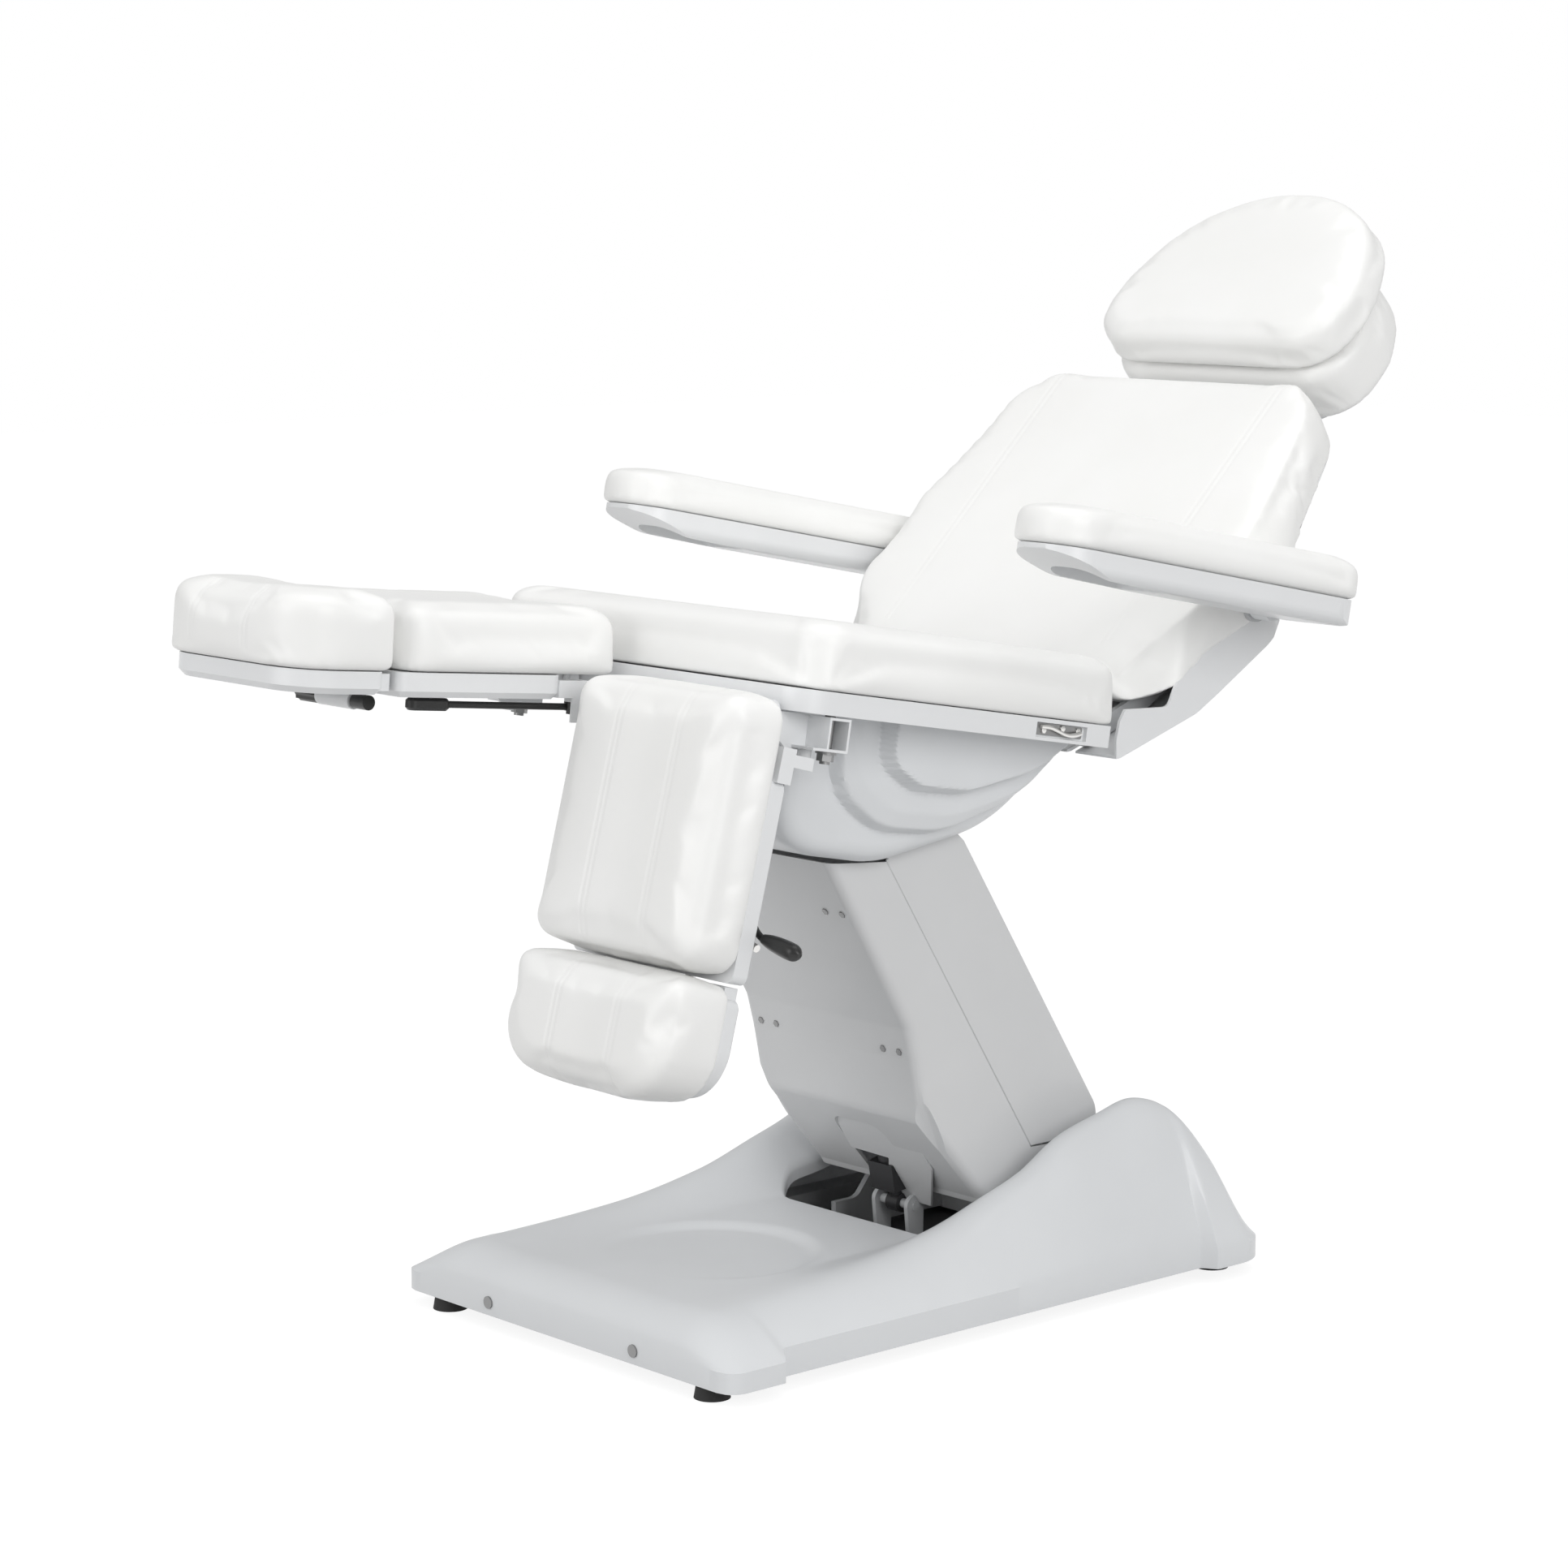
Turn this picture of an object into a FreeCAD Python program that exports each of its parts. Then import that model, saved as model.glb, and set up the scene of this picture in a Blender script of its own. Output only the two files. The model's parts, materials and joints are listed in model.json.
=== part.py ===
import FreeCAD, Part
import math
import os

Vector = FreeCAD.Vector
Rotation = FreeCAD.Rotation
Placement = FreeCAD.Placement

# An electric pedicure chair: a moulded base, a swinging lift column, a tilting seat,
# a reclining back with a head rest and folding arms, and two separate leg rests.
# X runs to the sitter's left, the sitter faces -Y, and Z is up from the floor.

doc = FreeCAD.newDocument("PedicureChair")
sheet = doc.addObject("Spreadsheet::Sheet", "Dimensions")

drivingDimensions = {
    # Base
    "rowShift": -30.0, "coverHalfWidth": 283.0, "coverFront": 436.0, "coverRear": 466.0,
    "rimHeight": 18.0, "plateauHeight": 84.0, "creaseHeight": 52.0, "coverWall": 4.0, "shoulderLength": 60.0,
    "wellHalfWidth": 160.0, "wellFront": 28.0, "wellRear": 335.0, "wellCorner": 50.0, "wellDepth": 44.0,
    "footX": 241.4, "footY": 411.0, "footRadius": 21.0,
    "railCentre": 240.0, "railWidth": 36.0, "railHeight": 28.0, "railLength": 860.0,
    "uprightInner": 128.0, "plateThickness": 8.0,
    # Lift linkage
    "pivotY": 216.0, "pivotZ": 130.0, "armLength": 560.0, "armLean": 30.96,
    "tieOffsetY": 56.6, "tieOffsetZ": 34.0, "tieThickness": 24.0, "pinRadius": 8.0,
    "axleRadius": 12.0, "pinPlay": 0.03,
    "armInner": 116.0, "cheekInner": 96.0, "columnHalfWidth": 150.0, "columnWall": 4.0,
    "seatPivotRise": 83.0,
    # Seat
    "seatY": -70.0, "seatZ": 727.0, "seatTilt": 10.0, "trayHalfWidth": 292.0,
    "trayHeight": 26.0, "trayRecess": 20.0, "seatPadHeight": 74.7, "seatPadHalfWidth": 300.0,
    "cowlHalfWidth": 185.0, "cowlWall": 4.0,
    # Back
    "backY": 272.0, "backZ": 801.0, "backAngle": 43.5, "backHingeY": 188.0, "backHingeZ": 686.0,
    "shellHalfWidth": 290.0, "shellWall": 4.0, "backPadThickness": 66.0,
    # Arms
    "armRestY": 400.0, "armRestZ": 856.0, "armTilt": 11.07, "armCentre": 366.0,
    "armPadHeight": 47.7, "armPadHalfWidth": 60.0, "armShellHalfWidth": 54.0,
    # Legs
    "legHingeY": -336.0, "legHingeZ": 770.0, "legRaised": 5.5, "legLowered": 75.0,
    "calfPadHeight": 77.0, "footPadHeight": 87.0, "legInner": 8.0, "legOuter": 290.0,
    "swivelX": 274.0, "swivelAlong": -196.0, "legPitch": 298.0,
    "leverAlong": -50.0, "leverDepth": -27.0, "knobAlong": -288.0, "knobDepth": -31.0,
    # Head
    "headPillowHeight": 40.0, "postRadius": 6.0,
}
for row, (name, value) in enumerate(drivingDimensions.items(), start=1):
    sheet.set("A%d" % row, name)
    sheet.set("B%d" % row, str(value))
    sheet.setAlias("B%d" % row, name)
doc.recompute()


def dim(name):
    return float(sheet.get(name))


# Frames of the chair's parts in the rest position
toSideView = Rotation(Vector(1, 1, 1), 120)
toFrontView = Rotation(Vector(1, 0, 0), 90)
upright = Rotation()
baseFrame = Placement(Vector(0, dim("rowShift"), 0), upright)


def tiltedFrame(y, z, degrees):
    return baseFrame * Placement(Vector(0, y, z), Rotation(Vector(1, 0, 0), degrees))


seatFrame = tiltedFrame(dim("seatY"), dim("seatZ"), -dim("seatTilt"))
backFrame = tiltedFrame(dim("backY"), dim("backZ"), dim("backAngle"))
armRestFrame = tiltedFrame(dim("armRestY"), dim("armRestZ"), -dim("armTilt"))
legFrames = {
    "left": tiltedFrame(dim("legHingeY"), dim("legHingeZ"), dim("legLowered")),
    "right": tiltedFrame(dim("legHingeY"), dim("legHingeZ"), -dim("legRaised")),
}
sides = {"left": 1, "right": -1}


def inFrame(frame, y, z):
    # The place of a point of the chair's side view in one part's own frame
    point = (baseFrame.inverse() * frame).inverse().multVec(Vector(0, y, z))
    return point.y, point.z


nodes = []


def keep(label, result):
    result.Label = label
    nodes.append(result)
    return result


# Outlines: straight runs joined by tangent arcs, a corner is (a, b) or (a, b, radius)
def roundedRuns(corners):
    count = len(corners)
    joins = []
    for index, corner in enumerate(corners):
        here = Vector(corner[0], corner[1], 0)
        radius = corner[2] if len(corner) > 2 else 0
        before = Vector(corners[index - 1][0], corners[index - 1][1], 0)
        after = Vector(corners[(index + 1) % count][0], corners[(index + 1) % count][1], 0)
        room = 0.48 * min(before.distanceToPoint(here), after.distanceToPoint(here))
        towardsBefore = (before - here).normalize()
        towardsAfter = (after - here).normalize()
        if radius == 0:
            joins.append((here, None, here))
            continue
        half = math.acos(max(-1, min(1, towardsBefore.dot(towardsAfter)))) / 2
        reach = min(room, radius / math.tan(half))
        rise = reach / math.cos(half)
        centre = here + (towardsBefore + towardsAfter).normalize() * rise
        joins.append((here + towardsBefore * reach, centre, here + towardsAfter * reach))
    runs = []
    for index, (start, centre, end) in enumerate(joins):
        if centre is not None:
            runs.append(roundCorner(start, centre, end))
        following = joins[(index + 1) % count][0]
        if end.distanceToPoint(following) > 1e-4:
            runs.append(Part.LineSegment(end, following))
    return runs


def roundCorner(start, centre, end):
    first = math.atan2(start.y - centre.y, start.x - centre.x)
    last = math.atan2(end.y - centre.y, end.x - centre.x)
    turn = (last - first) % (2 * math.pi)
    if turn > math.pi:
        first, last = last, first
    circle = Part.Circle(centre, Vector(0, 0, 1), centre.distanceToPoint(start))
    return Part.ArcOfCircle(circle, first, last)


def wireOf(runs):
    return Part.Wire(Part.__sortEdges__([run.toShape() for run in runs]))


def slab(corners, start, end, rotation=toSideView):
    # A flat outline made solid between two places along its own normal
    face = Part.Face(wireOf(roundedRuns(corners)))
    normal = rotation.multVec(Vector(0, 0, 1))
    face.Placement = Placement(normal * start, rotation)
    return face.extrude(normal * (end - start))


def bar(start, end, radius):
    # A round bar between two points
    axis = end - start
    return Part.makeCylinder(radius, axis.Length, start, axis)


def crossPin(y, z, radius, start, end):
    return Part.makeCylinder(radius, end - start, Vector(start, y, z), Vector(1, 0, 0))


def hexagonal(radius, height, place, axis):
    # A bolt head or a nut
    head = Part.Face(Part.makePolygon([Vector(math.cos(turn), math.sin(turn), 0) * radius
                                       for turn in [math.pi * step / 3 for step in range(7)]]))
    head = head.extrude(Vector(0, 0, height))
    head.Placement = Placement(place, Rotation(Vector(0, 0, 1), axis))
    return head


def block(low, high):
    size = Vector(*high) - Vector(*low)
    return Part.makeBox(size.x, size.y, size.z, Vector(*low))


def bothSides(shape):
    return [shape, shape.mirror(Vector(), Vector(1, 0, 0))]


def forSide(side, shape):
    return shape if side > 0 else shape.mirror(Vector(), Vector(1, 0, 0))


def joined(shapes):
    return shapes[0].multiFuse(shapes[1:]).removeSplitter()


def feature(label, shape, frame=baseFrame):
    result = doc.addObject("Part::Feature", label)
    result.Shape = shape
    result.Placement = frame
    return keep(label, result)


def sketchOn(body, role, name, corners, offset, holes=()):
    plane = [entry for entry in body.Origin.OriginFeatures if entry.Role == role][0]
    sketch = body.newObject("Sketcher::SketchObject", name)
    sketch.AttachmentSupport = [(plane, "")]
    sketch.MapMode = "FlatFace"
    sketch.AttachmentOffset = Placement(Vector(0, 0, offset), upright)
    for run in roundedRuns(corners):
        sketch.addGeometry(run, False)
    for y, z, radius in holes:
        sketch.addGeometry(Part.Circle(Vector(y, z, 0), Vector(0, 0, 1), radius), False)
    return sketch


def padBody(label, role, corners, length, offset=0, frame=baseFrame, holes=()):
    # A body whose first pad takes its length from the sheet
    body = doc.addObject("PartDesign::Body", label)
    sketch = sketchOn(body, role, label + "Outline", corners, offset, holes)
    pad = body.newObject("PartDesign::Pad", label + "Pad")
    pad.Profile = sketch
    pad.setExpression("Length", length)
    sketch.Visibility = False
    body.Placement = frame
    return body


def boundPin(label, radius, y, z, halfLength):
    # A round pin across the chair whose radius, place and length are expressions
    pin = doc.addObject("Part::Cylinder", label)
    pin.Placement = Placement(Vector(), Rotation(Vector(0, 1, 0), 90))
    pin.setExpression("Radius", radius)
    pin.setExpression("Height", "2 * (%s)" % halfLength)
    pin.setExpression(".Placement.Base.x", "-1 * (%s)" % halfLength)
    pin.setExpression(".Placement.Base.y", y)
    pin.setExpression(".Placement.Base.z", z)
    return pin


def grouped(label, links, frame=baseFrame):
    group = doc.addObject("Part::Compound", label)
    group.Links = links
    group.Placement = frame
    return keep(label, group)


def mirroredPair(label, source, frame=baseFrame):
    twin = doc.addObject("Part::Mirroring", label + "Twin")
    twin.Source = source
    twin.Normal = Vector(1, 0, 0)
    pair = doc.addObject("Part::Compound", label)
    pair.Links = [source, twin]
    pair.Placement = frame
    return keep(label, pair)


def pillBetween(y1, z1, r1, y2, z2, r2):
    # Two round ends joined by their common tangents, as a side-view outline
    across = Vector(y2 - y1, z2 - z1, 0)
    length = across.Length
    along = across.normalize()
    left = Vector(-along.y, along.x, 0)
    lean = (r1 - r2) / length
    rise = math.sqrt(1 - lean * lean)
    first = Vector(y1, z1, 0)
    second = Vector(y2, z2, 0)
    upper = along * lean + left * rise
    lower = along * lean - left * rise
    loop = [
        Part.LineSegment(first + upper * r1, second + upper * r2),
        Part.Arc(second + upper * r2, second + along * r2, second + lower * r2),
        Part.LineSegment(second + lower * r2, first + lower * r1),
        Part.Arc(first + lower * r1, first - along * r1, first + upper * r1),
    ]
    return Part.Wire([run.toShape() for run in loop])


def link(y1, z1, r1, y2, z2, r2, start, end):
    face = Part.Face(pillBetween(y1, z1, r1, y2, z2, r2))
    face.Placement = Placement(Vector(start, 0, 0), toSideView)
    return face.extrude(Vector(end - start, 0, 0))


# Base cover: a moulded housing with two raised wings beside an open well
wingLine = [(-436, 84), (-161, 96), (-31, 117), (48, 142), (118, 166), (173, 197), (243, 216),
            (300, 226), (359, 206), (404, 160), (451, 84)]
wingCrest = 205.0
wingFoot = 135.0
shoulderShares = (0.07, 0.25, 0.55, 1.0)
rearHump = 0.5
inletX = 124.0


def wingHeight(y):
    for (y1, z1), (y2, z2) in zip(wingLine, wingLine[1:]):
        if y <= y2:
            return z1 + (z2 - z1) * (y - y1) / (y2 - y1)
    return wingLine[-1][1]


def coverHeight(x, y):
    plateau = dim("plateauHeight")
    crease = dim("creaseHeight")
    crest = wingHeight(y)
    side = abs(x)
    if side > wingCrest:
        share = min(1.0, (side - wingCrest) / (dim("coverHalfWidth") - wingCrest))
        return crease + (crest - crease) * math.cos(share * math.pi / 2)
    share = max(0.0, (side - wingFoot) / (wingCrest - wingFoot))
    share = share * share * (3 - 2 * share)
    if y > dim("wellRear") - 20:
        share = max(share, rearHump)
    return plateau + (crest - plateau) * share


def shoulderRise(y):
    # How far the top has risen behind the front edge or before the rear edge, from 0 to 1
    nearest = min(y + dim("coverFront"), dim("coverRear") - y)
    share = min(1.0, nearest / dim("shoulderLength"))
    return math.sqrt(1 - (1 - share) ** 2)


def coverSection(x, inset):
    # The top edge of the housing at one distance from its middle, from front to rear
    crease = dim("creaseHeight")
    front, rear = -dim("coverFront"), dim("coverRear")
    shoulder = dim("shoulderLength")
    stations = [front] + [front + shoulder * share for share in shoulderShares]
    stations += [y for y, height in wingLine[1:-1]]
    stations += [rear - shoulder * share for share in reversed(shoulderShares[:-1])] + [rear]
    squeeze = (rear - front - 2 * inset) / (rear - front)
    middle = (front + rear) / 2
    points = []
    for y in stations:
        height = crease + (coverHeight(x, y) - crease) * shoulderRise(y)
        points.append(Vector(x, middle + (y - middle) * squeeze, height - inset))
    return points


def flatFace(points):
    return Part.Face(Part.makePolygon(points + points[:1]))


def coverForm(inset):
    # A closed form whose top follows the sections in flat facets
    half = dim("coverHalfWidth")
    right = [wingFoot, 158, 182, wingCrest, 228, 250, 268, half]
    narrow = (half - inset) / half
    stations = [-x * narrow for x in reversed(right)] + [x * narrow for x in right]
    sections = [coverSection(x, inset) for x in stations]
    bottom = dim("rimHeight") if inset == 0 else 0
    faces = []
    for near, far in zip(sections, sections[1:]):
        for index in range(len(near) - 1):
            faces.append(flatFace([near[index], far[index], far[index + 1]]))
            faces.append(flatFace([near[index], far[index + 1], near[index + 1]]))
    first, last = sections[0], sections[-1]
    for section in (first, last):
        faces.append(flatFace(section + [Vector(p.x, p.y, bottom) for p in (section[-1], section[0])]))
    for end in (0, -1):
        edge = [section[end] for section in sections]
        faces.append(flatFace(edge + [Vector(p.x, p.y, bottom) for p in (edge[-1], edge[0])]))
    faces.append(flatFace([Vector(p.x, p.y, bottom) for p in (first[0], first[-1], last[-1], last[0])]))
    return Part.Solid(Part.Shell(faces))


def earForm(front, rear):
    # A rounded corner of the housing that stands out past its side
    sections = []
    for height, out, reach in ((dim("rimHeight"), 303, 20), (40, 301, 20), (58, 284, 28)):
        corners = [(255, front), (out, front, reach), (out, rear, reach), (255, rear)]
        wire = wireOf(roundedRuns(corners))
        wire.translate(Vector(0, 0, height))
        sections.append(wire)
    return Part.makeLoft(sections, True, True)


def baseCover():
    outer = coverForm(0)
    inner = coverForm(dim("coverWall"))
    hollows = []
    for front, rear in ((-436, -348), (352, 466)):
        for ear in bothSides(earForm(front, rear)):
            outer = outer.fuse(ear)
        hollow = slab([(262, front + 5), (291, front + 5, 14), (291, rear - 5, 14), (262, rear - 5)],
                      0, 36, upright)
        hollows.extend(bothSides(hollow))
    half = dim("wellHalfWidth")
    well = [(-half, dim("wellFront"), dim("wellCorner")), (half, dim("wellFront"), dim("wellCorner")),
            (half, dim("wellRear"), 40), (-half, dim("wellRear"), 40)]
    wall = dim("coverWall")
    rim = [(a + math.copysign(wall, a), b + (wall if b > 100 else -wall), radius + wall)
           for a, b, radius in well]
    opening = slab(well, 0, 400, upright)
    ring = slab(rim, dim("wellDepth"), 400, upright).cut(opening)
    shell = outer.cut(inner)
    for hollow in hollows:
        shell = shell.cut(hollow)
    shell = shell.cut(opening).fuse(outer.common(ring))
    shell = shell.cut(block((inletX - 13.5, dim("coverRear") - 10, 25.5), (inletX + 13.5, dim("coverRear") + 5, 46.5)))
    recess = Part.makeCylinder(136, 60)
    recess.Placement = Placement(Vector(0, -208, 81), Rotation(Vector(1, 0, 0), -1.6))
    lowered = outer.common(recess)
    shell = shell.cut(recess)
    floor = lowered.copy()
    floor.translate(Vector(0, 0, -dim("coverWall")))
    return shell.fuse(floor.cut(recess).cut(opening))


feature("base_cover", baseCover())

# Side rails: two tubes under the housing, one on each side
rail = doc.addObject("Part::Box", "railTube")
rail.setExpression("Width", "Dimensions.railLength")
rail.setExpression("Length", "Dimensions.railWidth")
rail.setExpression("Height", "Dimensions.railHeight")
rail.setExpression(".Placement.Base.x", "Dimensions.railCentre - Dimensions.railWidth / 2")
rail.Placement.Base.y = -415
rail.Placement.Base.z = 22
mirroredPair("base_side_rails", rail)


# Cross beams: the front beam carries the lift motor's clevis, a thin plate the control box
liftTail = Vector(0, 100, 90)
clevisPin = 6.0


def crossBeams():
    inner = dim("railCentre") - dim("railWidth") / 2
    top = dim("wellDepth") - 0.5
    parts = [block((-inner, 91, 24), (inner, 113, top)), block((-inner, 300, 24), (inner, 322, top)),
             block((-inner, -250, 22), (inner, -110, 25))]
    for plate in bothSides(link(liftTail.y, liftTail.z, 14, liftTail.y + 2, 42, 11, 26, 32)):
        parts.append(plate)
    parts.append(crossPin(liftTail.y, liftTail.z, clevisPin, -34, 34))
    return joined(parts)


feature("base_cross_beams", crossBeams())

# Uprights: two plates between the cross beams that hold the lift pivots
pivotY = dim("pivotY")
pivotZ = dim("pivotZ")
tieY = pivotY + dim("tieOffsetY")
tieZ = pivotZ + dim("tieOffsetZ")
uprightOutline = [(113, 26), (300, 26), (300, 62, 12), (288, 90, 30), (288.6, 180, 16), (256, 180, 16),
                  (194, 154, 22), (190, 110, 20), (150, 62, 20), (113, 62)]
uprightPlate = padBody("uprightPlate", "YZ_Plane", uprightOutline, "Dimensions.plateThickness",
                       dim("uprightInner"), Placement(),
                       ((pivotY, pivotZ, 12.0), (tieY, tieZ, 8.0)))
mirroredPair("pivot_uprights", uprightPlate)


# Feet, screw caps, socket and control box
feet = []
for sideName, x in (("left", "Dimensions.footX"), ("right", "-1 * Dimensions.footX")):
    for endName, y in (("Front", "-1 * Dimensions.footY"), ("Rear", "Dimensions.footY")):
        foot = doc.addObject("Part::Cone", sideName + endName + "Foot")
        foot.setExpression("Radius1", "Dimensions.footRadius")
        foot.setExpression("Radius2", "Dimensions.footRadius - 3")
        foot.setExpression("Height", "Dimensions.rimHeight")
        foot.setExpression(".Placement.Base.x", x)
        foot.setExpression(".Placement.Base.y", y)
        feet.append(foot)
grouped("rubber_feet", feet)


def screwCaps():
    caps = []
    for x in (-133.5, 133.5):
        caps.append(Part.makeCylinder(7.5, 2, Vector(x, -dim("coverFront"), 34), Vector(0, -1, 0)))
    return Part.makeCompound(caps)


feature("cover_screw_caps", screwCaps())


def powerInlet():
    rear = dim("coverRear")
    flange = block((inletX - 18, rear, 22), (inletX + 18, rear + 2, 50))
    body = block((inletX - 13, rear - 22, 26), (inletX + 13, rear, 46))
    socket = block((inletX - 10, rear - 14, 29), (inletX + 10, rear + 2, 43))
    pins = [block((inletX + x - 1, rear - 14, 34), (inletX + x + 1, rear - 2, 38)) for x in (-6, 0, 6)]
    return joined([flange.fuse(body).cut(socket)] + pins)


feature("power_inlet", powerInlet())
controlBox = doc.addObject("Part::Box", "controlBox")
controlBox.Length = 190
controlBox.Width = 120
controlBox.Height = 34
controlBox.Placement.Base = Vector(-95, -240, 25)
boxEdges = doc.addObject("Part::Fillet", "control_box")
boxEdges.Base = controlBox
doc.recompute()
boxEdges.Edges = [(index, 5.0, 5.0) for index in (1, 3, 5, 7)]
boxEdges.Placement = baseFrame
keep("control_box", boxEdges)


lowerAxle = boundPin("lowerAxle", "Dimensions.axleRadius - Dimensions.pinPlay", "Dimensions.pivotY",
                     "Dimensions.pivotZ", "Dimensions.uprightInner + 12")
tieAxle = boundPin("tieAxle", "Dimensions.pinRadius - Dimensions.pinPlay", "Dimensions.pivotY + Dimensions.tieOffsetY",
                   "Dimensions.pivotZ + Dimensions.tieOffsetZ", "Dimensions.uprightInner + 12")
grouped("lower_axles", [lowerAxle, tieAxle])

# Lift arm: two long plates and cross tubes, swinging about the lower axle
lean = math.radians(dim("armLean"))
armUp = Vector(0, -math.sin(lean), math.cos(lean))
armBack = Vector(0, math.cos(lean), math.sin(lean))
armFoot = Vector(0, pivotY, pivotZ)
armTop = armFoot + armUp * dim("armLength")


def onArm(along, back, x=0):
    return armFoot + armUp * along + armBack * back + Vector(x, 0, 0)


def liftArm():
    inner = dim("armInner")
    parts = []
    plate = link(pivotY, pivotZ, 26, armTop.y, armTop.z, 24, inner, inner + dim("plateThickness"))
    for pivot in (armFoot, armTop):
        plate = plate.cut(crossPin(pivot.y, pivot.z, 12.02, inner - 1, inner + 12))
    parts.extend(bothSides(plate))
    for along in (90, 330, 470):
        centre = onArm(along, -4)
        parts.append(crossPin(centre.y, centre.z, 14, -inner, inner))
    return joined(parts)


feature("lift_arm", liftArm())

# Column casings: a front and a rear half round the lift arm, split by a slanting seam
columnFront = [(-152.7, 561.8), (-24, 347, 30), (-13, 307, 30), (3, 230, 30), (99, 121, 8),
               (104, 112, 4), (250, 112, 10), (270, 170)]
seamLow = (182, 173)
seamHigh = (-62, 554)
columnRear = [(300, 174, 3), (295, 210, 30), (65, 566), (-20, 640)]
seamGap = 0.6


def cornerScoop(radius):
    # A round bar laid outside the casing's lower front corner, which hollows it
    start = Vector(dim("columnHalfWidth") + 16, -34, 268)
    end = Vector(dim("columnHalfWidth") - 14, 62, 92)
    way = (end - start).normalize()
    return bar(start - way * 12, end + way * 80, radius)


def frontCasing():
    wall = dim("columnWall")
    half = dim("columnHalfWidth")
    outline = columnFront + [seamLow, seamHigh]
    outer = slab(outline, -half, half)
    inner = [(-160, 585), (-19.5, 349, 30), (-9, 308, 30), (7, 232, 28), (104, 122, 6),
             (104, 80), (300, 80), (300, 600)]
    hollow = slab(inner, -half + wall, half - wall)
    notch = slab([(-45, 60), (45, 60), (45, 205, 20), (-45, 205, 20)], -130, 60, toFrontView)
    notch = notch.common(block((-50, -20, 60), (50, 130, 260)))
    edges = [edge for edge in outer.Edges if frontCorner(edge)]
    outer = outer.makeFillet(14, edges)
    for scoop, lining in zip(bothSides(cornerScoop(30)), bothSides(cornerScoop(30 + wall))):
        outer = outer.cut(scoop)
        hollow = hollow.cut(lining)
    return outer.cut(hollow).cut(notch)


def frontCorner(edge):
    # The long edges of the casing's front face
    box = edge.BoundBox
    return box.XLength < 0.01 and box.YMax < 0 and box.ZMin > 340 and box.ZLength > 150


def rearCasing():
    wall = dim("columnWall")
    half = dim("columnHalfWidth")
    outline = [(seamLow[0] + seamGap, seamLow[1] + 1)] + columnRear + [(seamHigh[0] + seamGap, seamHigh[1])]
    outer = slab(outline, -half, half)
    inner = [(150, 150), (296, 150), (291, 208, 26), (61.5, 563.5), (40, 600), (-60, 700), (-120, 560)]
    hollow = slab(inner, -half + wall, half - wall)
    rear = slab([(100, 150), (320, 150), (320, 230), (120, 640), (-160, 640)], -half, half)
    return outer.common(rear).cut(hollow)


feature("column_front_casing", frontCasing())
feature("column_rear_casing", rearCasing())


def onRun(start, end, along):
    # A place on a straight run of the front casing's outline, and the way out of it
    run = Vector(0, end[0] - start[0], end[1] - start[1]).normalize()
    return Vector(0, start[0], start[1]) + run * along, run.cross(Vector(1, 0, 0))


def casingScrews():
    screws = []
    for first, along, inner, outer in ((0, 78, 100, 129), (1, 32, 96, 124)):
        place, outwards = onRun(columnFront[first], columnFront[first + 1], along)
        for x in (-outer, -inner, inner, outer):
            screws.append(hexagonal(4.5, 1.5, place + outwards * 0.01 + Vector(x, 0, 0), outwards))
    return Part.makeCompound(screws)


feature("casing_screws", casingScrews())

# Tie bar: the second link of the lift, which keeps the seat level
eyeTop = armTop + Vector(0, dim("tieOffsetY"), dim("tieOffsetZ"))
halfTie = dim("tieThickness") / 2


def tieBar():
    bars = link(tieY, tieZ, 14, eyeTop.y, eyeTop.z, 14, -halfTie, halfTie)
    slot = link(tieY, tieZ, 30, eyeTop.y, eyeTop.z, 30, -halfTie + 6, halfTie - 6)
    middle = onArm(280, 66)
    keepOut = block((-20, middle.y - 400, tieZ + 60), (20, middle.y + 400, eyeTop.z - 60))
    bars = bars.cut(slot.common(keepOut))
    for y, z in ((tieY, tieZ), (eyeTop.y, eyeTop.z)):
        bars = bars.cut(crossPin(y, z, 8.02, -20, 20))
    return bars


feature("tie_bar", tieBar())

# Carrier head: two cheeks at the top of the lift that carry the seat's tilt pivot
seatPivot = Vector(0, armTop.y, armTop.z + dim("seatPivotRise"))
tiltLug = Vector(0, -110, 605)


def carrierHead():
    inner = dim("cheekInner")
    outer = inner + dim("plateThickness")
    cheek = link(armTop.y, armTop.z, 24, seatPivot.y, seatPivot.z, 22, inner, outer)
    cheek = cheek.fuse(link(armTop.y, armTop.z, 24, eyeTop.y, eyeTop.z, 18, inner, outer))
    cheek = cheek.fuse(link(armTop.y, armTop.z, 24, tiltLug.y, tiltLug.z, 14, inner, outer))
    cheek = cheek.cut(crossPin(armTop.y, armTop.z, 12.2, 90, 110))
    cheek = cheek.cut(crossPin(eyeTop.y, eyeTop.z, 8.2, 90, 110))
    cheek = cheek.cut(crossPin(seatPivot.y, seatPivot.z, 10.2, 90, 110))
    bridge = crossPin(armTop.y - 2, armTop.z + 42, 9, -inner, inner)
    lug = crossPin(tiltLug.y, tiltLug.z, 7, -outer, outer)
    return joined(bothSides(cheek) + [bridge, lug])


feature("carrier_head", carrierHead())


def carrierAxles():
    return Part.makeCompound([crossPin(armTop.y, armTop.z, 11.98, -126, 126),
                              crossPin(eyeTop.y, eyeTop.z, 7.98, -106, 106),
                              crossPin(seatPivot.y, seatPivot.z, 9.98, -118, 118)])


feature("carrier_axles", carrierAxles())


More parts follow.
